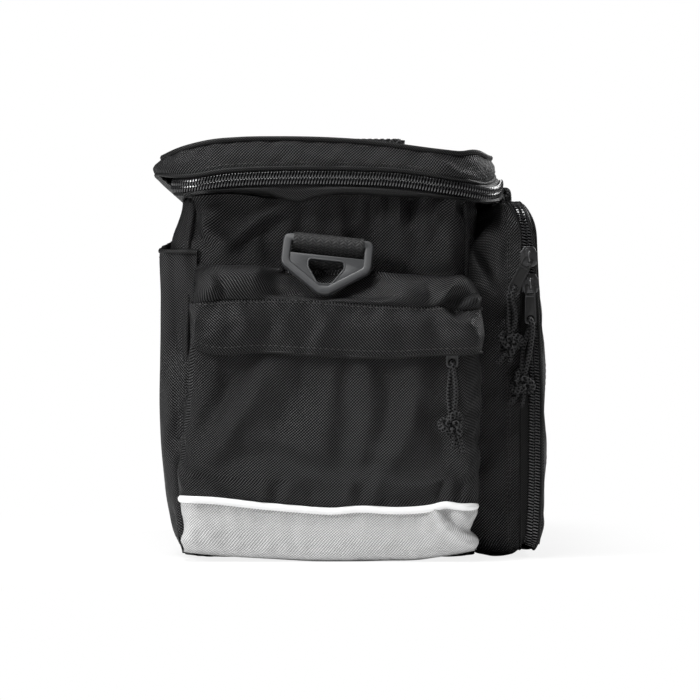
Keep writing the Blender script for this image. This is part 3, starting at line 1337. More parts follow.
# ---------------------------------------------------------------- flat parts from outlines
def outline_mesh(loops, half, bevel, steps):
    """A plate half thick each way with rounded edges; loops are its outline, then its holes."""
    curve = bpy.data.curves.new("outline", "CURVE")
    curve.dimensions = "2D"
    curve.fill_mode = "BOTH"
    curve.extrude = (half - bevel) * MM
    curve.bevel_depth = bevel * MM
    curve.bevel_resolution = steps
    curve.offset = -bevel * MM
    for loop in loops:
        line = curve.splines.new("POLY")
        line.points.add(len(loop) - 1)
        for point, (x, y) in zip(line.points, loop):
            point.co = (x * MM, y * MM, 0, 1)
        line.use_cyclic_u = True
    ob = add_object("outline", curve)
    bpy.context.view_layer.update()
    settled = ob.evaluated_get(bpy.context.evaluated_depsgraph_get())
    mesh = bpy.data.meshes.new_from_object(settled)
    bpy.data.objects.remove(ob)
    work = bmesh.new()
    work.from_mesh(mesh)
    bmesh.ops.remove_doubles(work, verts=work.verts, dist=2e-6)
    bmesh.ops.recalc_face_normals(work, faces=work.faces)
    work.to_mesh(mesh)
    work.free()
    return mesh


def rounded(points, radius, steps=6):
    """Rounds the corners of a closed polygon; radius may be a list."""
    points = np.asarray(points, float)
    count = len(points)
    radii = np.broadcast_to(np.asarray(radius, float), (count,))
    out = []
    for i in range(count):
        before, here, after = points[i - 1], points[i], points[(i + 1) % count]
        back, ahead = before - here, after - here
        back_length, ahead_length = np.linalg.norm(back), np.linalg.norm(ahead)
        back, ahead = back / back_length, ahead / ahead_length
        half_angle = acos(np.clip(back @ ahead, -1, 1)) / 2
        reach = min(radii[i] / (sin(half_angle) / cos(half_angle)),
                    0.48 * back_length, 0.48 * ahead_length)
        start, end = here + back * reach, here + ahead * reach
        for share in np.linspace(0, 1, steps):
            rest = 1 - share
            out.append(rest ** 2 * start + 2 * share * rest * here + share * share * end)
    return np.array(out)


def symmetric(left, steps=6):
    """A rounded outline from its left half, rows of x, y, corner radius."""
    right = [(-x, y, radius) for x, y, radius in left[::-1]]
    corners = np.array(left + right)
    return rounded(corners[:, :2], corners[:, 2], steps)


def block(foot_half, foot, top_half, top, radius, steps):
    """A rounded outline with level foot and top, each given as half width and y."""
    return rounded([(-foot_half, foot), (foot_half, foot), (top_half, top), (-top_half, top)],
                   radius, steps)


def arc(x, y, radius, first, last, count):
    return [(x + radius * cos(angle), y + radius * sin(angle))
            for angle in np.linspace(first, last, count)]


def circle(radius, count, y=0.0, turn=1):
    """Points round a circle; turn is -1 for clockwise."""
    return [(radius * cos(angle), y + radius * sin(angle))
            for angle in turn * np.arange(count) * 2 * pi / count]


def merge(name, parts, materials):
    """Joins (mesh, matrix, material slot) parts into one object."""
    points, faces, slots = [], [], []
    for part, matrix, slot in parts:
        base = len(points)
        points += [tuple(matrix @ vertex.co) for vertex in part.vertices]
        order = -1 if matrix.determinant() < 0 else 1
        for polygon in part.polygons:
            faces.append([base + i for i in polygon.vertices][::order])
            slots.append(slot)
    mesh = bpy.data.meshes.new(name)
    mesh.from_pydata(points, [], faces)
    mesh.uv_layers.new(name="UVMap")
    for material in materials:
        mesh.materials.append(material)
    mesh.polygons.foreach_set("material_index", slots)
    mesh.shade_smooth()
    mesh.set_sharp_from_angle(angle=radians(38))
    return add_object(name, mesh)


def tube_mesh(points, radius, sides, step):
    shells = Shells()
    shells.tube(points, radius, sides, step)
    return shells.mesh("tube")


def shift(x, y, z):
    return Matrix.Translation((x * MM, y * MM, z * MM))


# ---------------------------------------------------------------- strap rings
RING_FRAME = shift(*RING_PLACE) @ Matrix.Rotation(RING_TILT, 4, "Y")


def strap_ring():
    """Moulded ring: straight bar on top, pointed foot, and a thin plate with an eye."""
    web_half = RING_INNER_HALF + 1.5
    outer = symmetric([(-RING_HALF, 2.6, 4.2), (-RING_HALF, -15.6, 6.5), (-2.4, -31.6, 5.5)])
    inner = symmetric([(-RING_INNER_HALF, -2.0, 0.8), (-RING_INNER_HALF, -13.8, 3.2),
                       (-1.8, -26.9, 2.6)])
    eye = symmetric([(-9.4, -11.5, 3.2), (-9.4, -15.8, 2.4), (-3.4, -25.4, 2.8)], steps=9)
    web = symmetric([(-web_half, -8.6, 0.6), (-web_half, -15.4, 0.6), (-3.4, -28.2, 0.6)])
    lip = symmetric([(-10.3, -10.6, 4.0), (-10.3, -16.1, 2.9), (-3.9, -26.3, 3.3)], steps=9)
    parts = [outline_mesh([outer, inner], half=2.1, bevel=0.95, steps=4),
             outline_mesh([web, eye], half=1.25, bevel=0.35, steps=2),
             outline_mesh([lip, eye], half=1.55, bevel=0.35, steps=2),
             tube_mesh([(-22, 0, 0), (22, 0, 0)], 2.05, 14, step=4)]
    matrix = (RING_FRAME @ Matrix.Rotation(-RING_LEAN, 4, "X")
              @ Matrix.Rotation(pi / 2, 4, "X"))
    near = merge("near_strap_ring_moulding", [(part, matrix, 0) for part in parts], [RING])
    register_pair(near, "strap_ring_moulding", "{end}_ring", "ring_plastic", "strap_ring")


def strap_loop():
    """Doubled strap round the ring's bar, with both ends running to the pocket seam."""
    # profile in y and z, with the bar at 0, 0
    heading = atan2(-11.0, 8.8)
    radius, half_gap = 3.9, 1.95
    opening = radians(65)
    bend = np.array([(radius * cos(heading + turn), radius * sin(heading + turn))
                     for turn in np.linspace(opening, 2 * pi - opening, 26)])
    side = np.array([-sin(heading), cos(heading)]) * half_gap
    end = np.array([8.6, -15.5])
    leg_in = spline([end + side, end * 0.62 + side, bend[0]], 1.2)
    leg_out = spline([bend[-1], end * 0.62 - side, end - side], 1.2)
    profile = np.concatenate([leg_in[:-1], bend, leg_out[1:]])
    across = np.linspace(-18.9, 18.9, 16)
    slope = np.gradient(profile, axis=0)
    normal = unit(np.stack([slope[:, 1], -slope[:, 0]], 1))
    middle = len(profile) // 2
    if normal[middle] @ profile[middle] < 0:
        normal = -normal
    shells = Shells()
    shells.sheet(stack(across, profile[:, :1], profile[:, 1:]),
                 stack(across + 19, run_length(profile)[:, None]) * MM, 1.7,
                 centre=(0, 0, 0), normal=stack(0.0, normal[:, :1], normal[:, 1:]))
    finish_pair(shells, "strap_loop_webbing", [WEBBING], "bag", "webbing", "webbing_loop",
                matrix=RING_FRAME)


# ---------------------------------------------------------------- slip pocket on the back
SLIP_CENTRE = (-60, 0, 80)
# outer face: z, x
SLIP_FACE = [
    (2, -80.4), (7, -82.0), (17, -85.0), (24, -86.2), (32, -87.6), (45, -89.0), (60, -90.4),
    (80, -90.9), (120, -91.3), (164, -93.0)]
# height, width, crest (y, z)
SLIP_FOLDS = [
    (1.4, 8, (-60, 30), (-30, 50), (10, 44)),
    (-1.3, 9, (20, 60), (50, 90), (80, 120)),
    (1.3, 8, (-90, 80), (-70, 110), (-40, 130))]


def slip_pocket():
    side_count, corner_count = 10, 8
    heights = np.concatenate([np.linspace(2.4, 12, 5), np.linspace(16, 150, 34),
                              np.linspace(154, 166, 5)])
    face_x = table(heights, SLIP_FACE)
    corner = np.minimum(8.0, np.maximum(1.2, (-face_x - 80.0) * 0.8))
    half = 113.0 + 5.0 * smooth(20, 60, heights) + 1.5
    side = np.linspace(0, 1, side_count, endpoint=False)[:, None]
    turn = (np.arange(corner_count) / corner_count * pi / 2)[:, None]
    near_x = np.concatenate([-72 + (face_x + corner + 72) * side,
                             face_x + corner - corner * np.sin(turn)])
    near_y = np.concatenate([-125.6 + (125.6 - half) * side ** 1.5,
                             -half + corner * (1 - np.cos(turn))])
    face_y = np.linspace(-half + corner, half - corner, 96)
    x = np.concatenate([near_x, face_x + 0 * face_y, near_x[::-1]])
    y = np.concatenate([near_y, face_y, -near_y[::-1]])
    sheet = stack(x, y, heights)
    z = sheet[..., 2]
    back = smooth(118, 100, np.abs(y))
    bulge = (0.9 * np.sin(pi * np.clip((z - 2) / 164, 0, 1)) + waves(y, z, 91, 34) * 1.1) * back
    bulge = bulge + folds(y, z, SLIP_FOLDS)
    sheet = sheet + normals(sheet, centre=SLIP_CENTRE) * bulge[..., None]
    # the rim rises in the middle and leans towards the wall
    arch = np.cos(pi * np.clip(y / 236, -0.5, 0.5))
    sheet[..., 2] += 10.0 * arch ** 1.15 * smooth(110, 166, z)
    sheet[..., 0] += 3.4 * arch ** 1.2 * smooth(130, 166, z) * back
    draped = cloth(sheet, pins(sheet, rows=(0,)), seed=92, frames=16, shrink=-0.022,
                   low=-1.6, high=1.8, centre=SLIP_CENTRE)
    shells = Shells()
    shells.sheet(draped, arc_uv(sheet), 1.4, centre=SLIP_CENTRE)
    shells.tube(draped[:, -1] + [0.6, 0, 0.4], 1.45, 8, step=2.4, slot=1)
    ends = side_count + corner_count
    stitches(shells, draped[ends:-ends, -2], normals(draped, centre=SLIP_CENTRE)[ends:-ends, -2],
             radius=0.26, slot=2)
    finish(shells, "rear_slip_pocket_fabric", [FABRIC, BINDING, THREAD], "bag", "black_fabric",
           "rear_slip_pocket")


# ---------------------------------------------------------------- front pocket
FRONT_CENTRE = (95, 0, 97)
# the zip's middle: z, x
FRONT_ZIP_LINE = [
    (4, 109.8), (12, 110.5), (32, 111.5), (59, 111.9), (86, 111.9), (113, 111.1), (141, 109.8),
    (165, 108.6), (176, 108.2), (190, 108.5)]
# face of the panel: z, x
FRONT_FACE = [
    (4, 113.6), (12, 116.4), (37, 118.4), (86, 118.2), (120, 117.2), (150, 115.2), (169, 113.2),
    (180, 112.2), (195, 112.8)]
# how far the panel's edge stands in front of the zip: z, distance
FRONT_EDGE_GAP = [(4, 3.4), (120, 3.4), (165, 2.8), (190, 2.6)]
# how far the pocket's top sits below its full height, more towards the wall: x, drop
FRONT_TOP_DROP = [
    (73, 20.5), (75, 18.6), (77, 15.7), (82, 11.0), (88.6, 5.2), (94, 2.2), (99, 0.3),
    (104, 0.0), (118, 0.0)]
# height, width, crest (x, z)
FRONT_SIDE_FOLDS = [
    (2.6, 2.6, (76, 172), (80, 162), (86, 150)),
    (-2.0, 3.0, (80, 176), (86, 164), (92, 150)),
    (1.2, 3.0, (90, 186), (93, 170), (92, 150)),
    (1.2, 2.6, (83, 80), (92, 66), (99, 60)),
    (-1.0, 3.0, (84, 100), (90, 92), (99, 90))]
# height, width, crest (y, z)
FRONT_PANEL_FOLDS = [
    (1.0, 8, (-100, 170), (-70, 140), (-60, 100)),
    (-1.0, 8, (70, 160), (90, 120), (84, 70)),
    (-0.9, 7, (-40, 30), (0, 44), (50, 36))]


def front_outline(step=2.4):
    """Closed outline from the middle of the foot towards the near side.

    Columns: y, z, outward normal y and z, length run.
    """
    inner_y = FRONT_HALF_Y - FRONT_CORNER
    low, high = FRONT_FOOT + FRONT_CORNER, FRONT_TOP - FRONT_CORNER
    foot = (0.0, FRONT_FOOT, 0, -1)
    points = [foot]
    for y, z, first in ((-inner_y, low, 270), (-inner_y, high, 180), (inner_y, high, 90),
                        (inner_y, low, 0)):
        for share in np.linspace(0, 1, 9):
            angle = radians(first - 90 * share)
            points.append((y + FRONT_CORNER * cos(angle), z + FRONT_CORNER * sin(angle),
                           cos(angle), sin(angle)))
    points = np.array(points + [foot])
    run = run_length(points[:, :2])
    rows = []
    for i in range(len(points) - 1):
        length = run[i + 1] - run[i]
        count = max(1, int(round(length / step)))
        for share in np.arange(count) / count:
            point = points[i] * (1 - share) + points[i + 1] * share
            facing = point[2:] / np.hypot(*point[2:])
            rows.append([*point[:2], *facing, run[i] + length * share])
    return np.array(rows)


OUTLINE = front_outline()


def lean_back(x, z):
    """The pocket's top leans back towards the bag."""
    return x - 6.6 * np.clip((z - 174.0) / 20.0, 0, 1.1) ** 2 * smooth(82, 102, x)


def front_gusset():
    """Side of the front pocket, from the wall to the zip, all the way round."""
    x = np.linspace(74.4, 104.4, 18)
    reach = x[-1]
    y, z, facing_y, facing_z, run = (OUTLINE[:, k, None] for k in range(5))
    tall = FRONT_TOP - FRONT_FOOT
    off_middle = 0.12 + 0.88 * smooth(84, 112, np.abs(y))
    drop = table(x, FRONT_TOP_DROP) / tall * smooth(0.35, 1.0, (z - FRONT_FOOT) / tall)
    sheet = stack(lean_back(x, z), y, FRONT_FOOT + (z - FRONT_FOOT) * (1 - off_middle * drop))
    side = smooth(0.4, 0.9, np.abs(facing_y))
    top = smooth(0.4, 0.9, facing_z)
    foot = smooth(0.4, 0.9, -facing_z)
    sheet[..., 0] += 4.4 * np.clip((reach - x) / 30.0, 0, 1) * np.maximum(top, foot)
    sheet[..., 2] -= 1.5 * np.clip(1 - (x - 78) / 14.0, 0, 1) * top
    sheet[..., 2] -= 1.3 * smooth(reach, 98, x) * foot
    sheet_x, sheet_y, sheet_z = split(sheet)
    swell = np.sin(pi * (x - x[0]) / (reach - x[0]))
    bulge = (swell * (-0.5 * side + 0.5 * top + 1.6 * foot)
             + waves(sheet_z + sheet_y * 0.6, sheet_x, 15, 15, stretch=(1, 1.4))
             * swell * (1 - foot * 0.8)
             + np.where(side > 0.5, folds(sheet_x, sheet_z, FRONT_SIDE_FOLDS), 0))
    sheet = sheet + normals(sheet, True, FRONT_CENTRE) * bulge[..., None]
    sheet = cloth(sheet, pins(sheet, cols=()), closed=True, seed=16, frames=16, shrink=-0.035,
                  low=-1.5, high=1.5, centre=FRONT_CENTRE)
    shells = Shells()
    shells.sheet(sheet, stack(run, x) * MM, 1.2, closed=True, centre=FRONT_CENTRE)
    normal = normals(sheet, True, FRONT_CENTRE)
    first, last = np.nonzero(facing_z[:, 0] > -0.95)[0][[0, -1]]
    for j, share in ((12, 0.9), (13, 0.7)):
        line = sheet[first:last, j] * (1 - share) + sheet[first:last, j + 1] * share
        stitches(shells, line, normal[first:last, j])
    shells.tube(sheet[:, -1] + normal[:, -1] * 0.1, 0.75, 6, step=2.6, slot=2, closed=True)
    finish(shells, "front_pocket_side_fabric", [FABRIC, THREAD, BINDING], "bag", "black_fabric",
           "front_pocket_gusset")


def front_zip():
    """Both rows of coil and tape, up both sides and over the top."""
    outline = OUTLINE[OUTLINE[:, 3] > -0.86]
    y, z, facing_y, facing_z, run = (outline[:, k, None] for k in range(5))
    x = lean_back(table(z, FRONT_ZIP_LINE), z)
    line = np.hstack([x, y - facing_y * 0.3, z - facing_z * 0.3])
    out = np.hstack([0 * y, facing_y, facing_z])
    sink = np.array([-1.5, -1.3, -1.0, -0.7])
    for name, side, body, piece, reach in (
            ("front_zip_inner_row", -1, "bag", "front_zip_inner_half",
             lean_back(104.2, z) - x),
            ("front_zip_outer_row", 1, "front_panel", "front_zip_outer_half", 5.0 + 0 * x)):
        shells = Shells()
        teeth(shells, line, (side, 0.0, 0.0), out, phase=0 if side > 0 else 0.5)
        start = 0.9 * side
        across = np.hstack([start + 0 * x, 3.0 * side + 0 * x, reach * 0.75 + start * 0.25,
                            reach])
        tape = stack(x + across, y + facing_y * sink, z + facing_z * sink)
        shells.sheet(tape, stack(run - run[0], across) * MM, 0.5, slot=1, centre=(105, 0, 97))
        finish(shells, name, [COIL, TAPE], body, "zip_coil", piece)


def rim_loop(sheet, inset):
    """The closed line of points inset steps in from a sheet's edge."""
    rows, columns = sheet.shape[:2]
    first, last = inset, -inset - 1
    return np.concatenate([
        sheet[first:last, first], sheet[last, first:last],
        sheet[first + 1:rows - inset, last][::-1], sheet[first, first + 1:columns - inset][::-1]])


def front_panel():
    """Front of the pocket: a soft tray."""
    def crowd(share):
        """Moves stations closer together towards the edges."""
        return np.sign(share) * (1 - (1 - np.abs(share)) ** 1.35)

    middle_z, half_z = (FRONT_FOOT + FRONT_TOP) / 2, (FRONT_TOP - FRONT_FOOT) / 2
    centre = (80, 0, middle_z)
    corner, edge_radius = FRONT_CORNER, 3.0
    across = crowd(np.linspace(-1, 1, 92))[:, None]
    rise = crowd(np.linspace(-1, 1, 76))[None]
    z = middle_z + half_z * rise + 0 * across
    into_corner = np.clip(np.abs(rise) * half_z - (half_z - corner), 0, corner)
    y = across * (FRONT_HALF_Y
                  - (corner - np.sqrt(np.maximum(corner * corner - into_corner ** 2, 0))))
    # distance in from the outline
    past_y = np.abs(y) - (FRONT_HALF_Y - corner)
    past_z = np.abs(z - middle_z) - (half_z - corner)
    inside = corner - np.hypot(np.maximum(past_y, 0), np.maximum(past_z, 0))
    inside = np.where((past_y <= 0) & (past_z <= 0), np.minimum(-past_y, -past_z) + corner,
                      inside)
    inside = np.clip(inside, 0, None)
    turn = np.sqrt(np.clip(1 - (1 - np.clip(inside / edge_radius, 0, 1)) ** 2, 0, 1))
    crown = np.cos(pi / 2 * np.clip(np.abs(y) / FRONT_HALF_Y, 0, 1)) ** 0.7
    face = table(z, FRONT_FACE) - 0.9 + 0.8 * crown
    edge = np.minimum(table(z, FRONT_ZIP_LINE) + table(z, FRONT_EDGE_GAP), face - 1.0)
    x = edge + (face - edge) * turn
    x = x + (waves(y, z, 23, 30) * 0.9 + waves(y, z, 24, 60) * 0.8) * smooth(3, 18, inside)
    x = x + folds(y, z, FRONT_PANEL_FOLDS)
    sheet = stack(lean_back(x, z), y, z)
    held = (0, 1, -2, -1)
    sheet = cloth(sheet, pins(sheet, held, held), seed=25, frames=14, shrink=-0.022, low=-1.3,
                  high=1.3, centre=centre)
    shells = Shells()
    shells.sheet(sheet, stack(y, z) * MM, 1.3, centre=centre)
    shells.tube(rim_loop(sheet, 0) + [0.3, 0, 0], 0.95, 7, step=2.4, slot=2, closed=True)
    stitches(shells, rim_loop(sheet, 9), rim_loop(normals(sheet, centre=centre), 9),
             radius=0.26, sink=-0.16)
    finish(shells, "front_pocket_panel_fabric", [FABRIC, THREAD, BINDING], "front_panel",
           "black_fabric", "front_pocket_panel")


def front_hinge():
    """Sewn hinge along the foot."""
    y = np.linspace(-104, 104, 60)[:, None]
    share = np.linspace(0, 1, 14)[None]
    sheet = stack(102.6 + 11.2 * share, y, 4.4 - 1.0 * np.sin(pi * share) + 0.2 * np.sin(y / 6))
    shells = Shells()
    shells.sheet(sheet, sheet[..., [1, 0]] * MM, 0.9, centre=(108, 0, 40), normal=-UP)
    finish(shells, "front_hinge_fabric", [FABRIC],
           ("bag", "front_panel", (0.1128, 0, 0.004), (0.1150, 0, 0.004)),
           "black_fabric", "front_hinge_strip")


# ---------------------------------------------------------------- sliders, tabs and cords
# A pull's own axes: x across the zip's slider, y along it, z away from the bag
def slider_parts(stud):
    """Two crowned plates and a post between them, with a stud or a bail to hold the tab."""
    still = Matrix.Identity(4)
    crown = rounded([(-3.0, -5.5), (3.0, -5.5), (4.6, -2.6), (4.6, 2.4), (2.6, 5.6), (-2.6, 5.6),
                     (-4.6, 2.4), (-4.6, -2.6)], 1.4, 4)
    plate = outline_mesh([crown], half=0.62, bevel=0.4, steps=3)
    rib = outline_mesh([block(1.5, -4.2, 2.0, 4.4, 0.8, 4)], half=0.35, bevel=0.25, steps=2)
    post = outline_mesh([block(0.5, 1.8, 0.5, 4.6, 0.2, 3)], half=1.7, bevel=0.1, steps=1)
    flange = outline_mesh([block(0.32, -4.2, 0.32, 2.2, 0.15, 3)], half=0.55, bevel=0.15,
                          steps=1)
    parts = [(plate, shift(0, 0, 2.1)), (plate, shift(0, 0, -2.1)), (rib, shift(0, 0, 2.75)),
             (post, still), (flange, shift(-4.15, -0.4, 1.35)), (flange, shift(4.15, -0.4, 1.35))]
    if stud:
        stem = tube_mesh([(0, 0, 2.4), (0, 0, 5.4)], 0.9, 14, step=1)
        head = outline_mesh([rounded(circle(2.0, 12), 0.5, 3)], half=0.42, bevel=0.3, steps=3)
        return parts + [(stem, still), (head, shift(0, 0, 5.6))]
    bail = tube_mesh([(0, -3.1, 2.2), (0, -3.0, 3.6), (0, -2.2, 4.9), (0, 0, 5.3),
                      (0, 2.2, 4.9), (0, 3.0, 3.6), (0, 3.1, 2.2)], 0.62, 10, step=0.5)
    return parts + [(bail, still)]


def tab_parts(stud):
    """Tab plate with a hole for the cord, and its raised border."""
    length, half = TAB_LENGTH, TAB_HALF
    if stud:
        foot_radius = 2.4
        foot_x, foot_y = half - foot_radius, -length + foot_radius
        outer = (arc(0, 0, half, 0, pi, 14)
                 + arc(-foot_x, foot_y, foot_radius, pi, 1.5 * pi, 6)
                 + arc(foot_x, foot_y, foot_radius, 1.5 * pi, 2 * pi, 6))
        top_hole = circle(1.35, 14, turn=-1)
    else:
        outer = symmetric([(-2.9, 0.7, 0.9), (-half, -length, 2.2)], 5)
        top_hole = symmetric([(-1.9, -0.6, 0.7), (-2.1, -4.8, 0.7)], 4)
    cord_hole = circle(2.0, 16, y=TAB_HOLE_Y, turn=-1)
    body = outline_mesh([outer, top_hole, cord_hole], half=0.5, bevel=0.2, steps=2)
    border = outline_mesh(
        [symmetric([(-2.9, -5.4, 0.5), (-half + 0.15, -length + 0.15, 2.1)], 5),
         symmetric([(-2.15, -6.2, 0.4), (-2.4, -length + 0.95, 1.5)], 5)],
        half=0.72, bevel=0.18, steps=1)
    return body, border


def knot_points(middle, size, turn):
    """Trefoil knot of the given size about its middle."""
    t = np.linspace(0, 2 * pi, 64, endpoint=False)
    x, y = np.sin(t) + 2 * np.sin(2 * t), np.cos(t) - 2 * np.cos(2 * t)
    return np.stack([middle[0] + size[0] * (x * cos(turn) - y * sin(turn)),
                     middle[1] + size[1] * (x * sin(turn) + y * cos(turn)),
                     middle[2] - size[2] * np.sin(3 * t)], 1)


def cord_loop(knot, tails, turn):
    """A doubled cord through the tab's hole, knotted, with frayed tails. Local to the tab."""
    x, y, z = knot
    radius, hole, spread, sides, step = CORD_RADIUS, TAB_HOLE_Y, 2.0, 10, 0.7
    reach = 0.72 + 0.15 + radius  # cord's middle from the tab's middle, in z

    def leg(share, side, height):
        return (x * share + side, hole + (y - hole) * share, height)

    shells = Shells()
    shells.tube([
        (x - 1.0, y + 2.0, z), leg(0.8, -spread * 0.55, z * 0.8),
        leg(0.5, -spread, z * 0.5 - reach * 0.45),
        (-0.9, hole - 5.5, -reach * 0.8 + max(0.0, z) * 0.25), (-0.3, hole - 2.4, -reach * 0.95),
        (0, hole - 0.5, -reach * 0.75), (0, hole - 0.15, 0), (0, hole - 0.5, reach * 0.75),
        (0.3, hole - 2.4, reach), (0.9, hole - 5.5, reach * 0.95),
        leg(0.5, spread, z * 0.5 + reach * 0.45), leg(0.8, spread * 0.55, z * 0.8),
        (x + 1.0, y + 2.0, z)], radius, sides, step)
    # size, share of the cord's radius, extra turn
    for size, share, extra in (((2.15, 2.3, 1.9), 1, 0), ((1.7, 1.6, 2.3), 0.95, 2.1),
                               ((1.15, 1.2, 2.2), 1.05, 1.0)):
        shells.tube(knot_points(knot, size, turn + extra), radius * share, sides, step,
                    closed=True)
    start = np.array(knot, float)
    for tail in tails:
        end = np.array(tail, float)
        bend = (start + end) / 2 + [0.8, -0.4, 0.3]
        shells.tube([start + [0, -1.5, 0], bend, end], [radius] * 3 + [radius * 1.12], sides,
                    step)
        along = (end - bend) / np.linalg.norm(end - bend)
        for i in range(5):
            side = np.array([cos(i * 1.3), 0.3 * sin(i * 2.1), sin(i * 1.3)])
            shells.tube([end - along * 0.4 + side * 0.5, end + along * 0.9 + side * 0.8,
                         end + along * 1.7 + side * 1.1], [0.32, 0.25, 0.12], 6, step=0.5)
    return shells


def axes_at(place, across, along, out):
    return shift(*place) @ Matrix((across, along, out)).transposed().to_4x4()


def pull(name, axes, knot, tails, turn, tilt=0, lean=0, stud=False):
    """Slider, tab and cord. tilt and lean are in degrees; a studded slider lies crosswise."""
    roll = Matrix.Rotation(radians(-90 if stud else 0), 4, "Z")
    parts = [(part, axes @ roll @ matrix, 0) for part, matrix in slider_parts(stud)]
    slider = merge(name + "_slider_body", parts, [METAL])
    register(slider, name + "_slider", "slider_metal", name + "_slider")
    if stud:
        tab_axes = axes @ shift(0, 0, 4.3)
    else:
        tab_axes = (axes @ shift(0, -1.2, 3.5) @ Matrix.Rotation(-radians(tilt), 4, "Z")
                    @ Matrix.Rotation(-radians(lean), 4, "X"))
    body, border = tab_parts(stud)
    tab = merge(name + "_tab_plate", [(body, tab_axes, 1), (border, tab_axes, 0)],
                [METAL, ENAMEL])
    register(tab, name + "_tab", "slider_metal", name + "_pull_tab")
    cord_name = name + "_cord_loop"
    mesh = cord_loop(knot, tails, turn).mesh(cord_name, [CORD], tab_axes)
    cord = add_object(cord_name, mesh)
    if tab_axes.determinant() < 0:
        mesh.flip_normals()
    register(cord, name + "_tab", "cord", name + "_pull_cord")


def build_pulls():
    for name, side, turn in (("near_pocket", -1, 0.5), ("far_pocket", 1, 0.9)):
        place = (65.7, -side * POCKET_ZIP_Y, POCKET_ZIP_Z)
        pull(name, axes_at(place, (1, 0, 0), (0, 0, 1), (0, side, 0)), knot=(-0.5, -51.5, 4.8),
             tails=[(5.2, -65.5, 4.0), (0.4, -63.0, 5.6)], turn=turn, stud=True)
    near_axes = ((1, 0, 0), (0, 0, 1), (0, -1, 0))
    pull("front_upper", axes_at((108.7, -117.0, 164.4), *near_axes), tilt=27, lean=10,
         knot=(11.4, -46, -3.4), tails=[(10.4, -58.5, -3.4), (16.0, -55.5, -3.0)], turn=0.2)
    pull("front_lower", axes_at((109.5, -117.0, 149.7), *near_axes), lean=4,
         knot=(-4.9, -53, -0.6), tails=[(-10.8, -64.0, -0.9), (-5.2, -65.5, -0.6)], turn=1.1)
    for name, side in (("lid_near", -1), ("lid_far", 1)):
        axes = axes_at((94.3, side * 9, COIL_SIDE_Z), (0, 0, side), (0, -side, 0), (1, 0, 0))
        pull(name, axes, lean=4, knot=(-side * 5.8, -43, -1.6),
             tails=[(-side * 6.5, -55, -2.0), (-side * 4.5, -54, -0.6)], turn=0.4)


# ---------------------------------------------------------------- build the bag
build_lid()
lid_zip()
zip_band()
lid_hinge()
build_walls()
pocket_pouch()
pocket_piping()
grey_band()
pocket_roof()
storm_flap()
pocket_zip()
strap_ring()
strap_loop()
slip_pocket()
front_gusset()
front_zip()
front_panel()
front_hinge()
build_pulls()

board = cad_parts["base_board"]
board.data.materials.clear()
board.data.materials.append(BOARD)


# ---------------------------------------------------------------- studio, in metres
WHITE = (1, 1, 1, 1)


def floor_material():
    """White floor: shaded near the bag, and pure white to the camera further out."""
    shader = Shader("studio_floor")
    link = shader.tree.links.new
    shader.set(Base_Color=(0.9, 0.9, 0.9), Roughness=0.9, Specular_IOR_Level=0.1)
    stretch_x, stretch_y, half_run = 1.0, 1.0, 0.06  # shape of the shaded patch
    x, y = shader.separate(shader.node("ShaderNodeTexCoord").outputs["Object"])
    x = x * stretch_x
    y = (y.op("ABSOLUTE") - half_run) * stretch_y
    distance = (x * x + y * y).op("SQRT")
    fade = shader.node("ShaderNodeMapRange", interpolation_type="SMOOTHSTEP")
    link(distance.socket, fade.inputs["Value"])
    for key, value in (("From Min", 0.10), ("From Max", 0.30), ("To Min", 0.84), ("To Max", 1.0)):
        fade.inputs[key].default_value = value
    glow = shader.node("ShaderNodeEmission")
    glow.inputs[0].default_value = WHITE
    glow.inputs[1].default_value = 1.0
    rays = shader.node("ShaderNodeLightPath")
    share = shader.node("ShaderNodeMath", operation="MULTIPLY")
    mix = shader.node("ShaderNodeMixShader")
    link(rays.outputs["Is Camera Ray"], share.inputs[0])
    link(fade.outputs["Result"], share.inputs[1])
    link(share.outputs[0], mix.inputs[0])
    link(shader.surface.outputs[0], mix.inputs[1])
    link(glow.outputs[0], mix.inputs[2])
    link(mix.outputs[0], shader.tree.nodes["Material Output"].inputs[0])
    return shader.material


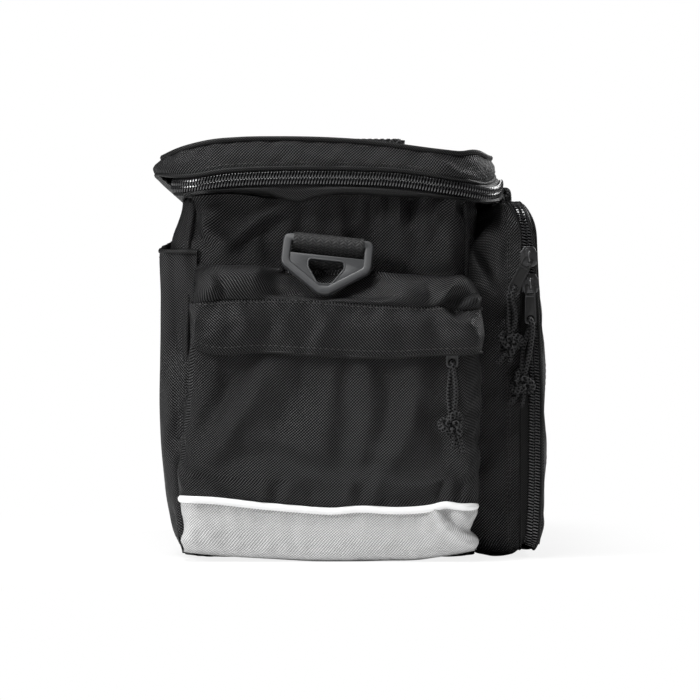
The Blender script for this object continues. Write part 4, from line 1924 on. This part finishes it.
def build_floor():
    mesh = bpy.data.meshes.new("studio_floor")
    mesh.from_pydata([(-6, -4, 0), (6, -4, 0), (6, 9, 0), (-6, 9, 0)], [], [(0, 1, 2, 3)])
    mesh.materials.append(floor_material())
    add_object("studio_floor", mesh)


def build_world(light_strength, camera_strength):
    """White surroundings: dim as a light, bright to the camera."""
    world = bpy.data.worlds.new("studio")
    bpy.context.scene.world = world
    world.use_nodes = True
    tree = world.node_tree
    tree.nodes.clear()
    output = tree.nodes.new("ShaderNodeOutputWorld")
    mix = tree.nodes.new("ShaderNodeMixShader")
    rays = tree.nodes.new("ShaderNodeLightPath")
    tree.links.new(rays.outputs["Is Camera Ray"], mix.inputs[0])
    for index, strength in ((1, light_strength), (2, camera_strength)):
        background = tree.nodes.new("ShaderNodeBackground")
        background.inputs[0].default_value = WHITE
        background.inputs[1].default_value = strength
        tree.links.new(background.outputs[0], mix.inputs[index])
    tree.links.new(mix.outputs[0], output.inputs[0])


def area_light(name, place, target, size, power):
    light = bpy.data.lights.new(name, "AREA")
    light.energy = power
    light.size = size
    ob = add_object(name, light)
    ob.location = place
    aim = Vector(target) - Vector(place)
    ob.rotation_euler = aim.to_track_quat("-Z", "Y").to_euler()


def build_camera():
    """Level camera looking at the near end."""
    camera = bpy.data.cameras.new("camera")
    camera.sensor_width = 36
    camera.lens = 144.4
    camera.clip_end = 50
    ob = add_object("camera", camera)
    ob.location = (0.0112, -1.65, 0.1135)
    ob.rotation_euler = (pi / 2, 0, 0)
    bpy.context.scene.camera = ob


build_floor()
build_world(light_strength=0.055, camera_strength=1.0)
area_light("key", place=(-1.5, -1.0, 1.02), target=(0, 0, 0.12), size=0.45, power=30)
area_light("fill", place=(-0.4, -1.9, 0.5), target=(0, 0, 0.12), size=0.4, power=0.7)
area_light("top", place=(-0.25, -0.45, 1.45), target=(0, 0, 0.1), size=0.6, power=20)
area_light("rim", place=(1.05, 0.75, 0.85), target=(0, 0, 0.13), size=0.6, power=15)
build_camera()

view = bpy.context.scene.view_settings
view.view_transform = "Standard"
view.look = "None"
view.exposure = 0.0
view.gamma = 1.0
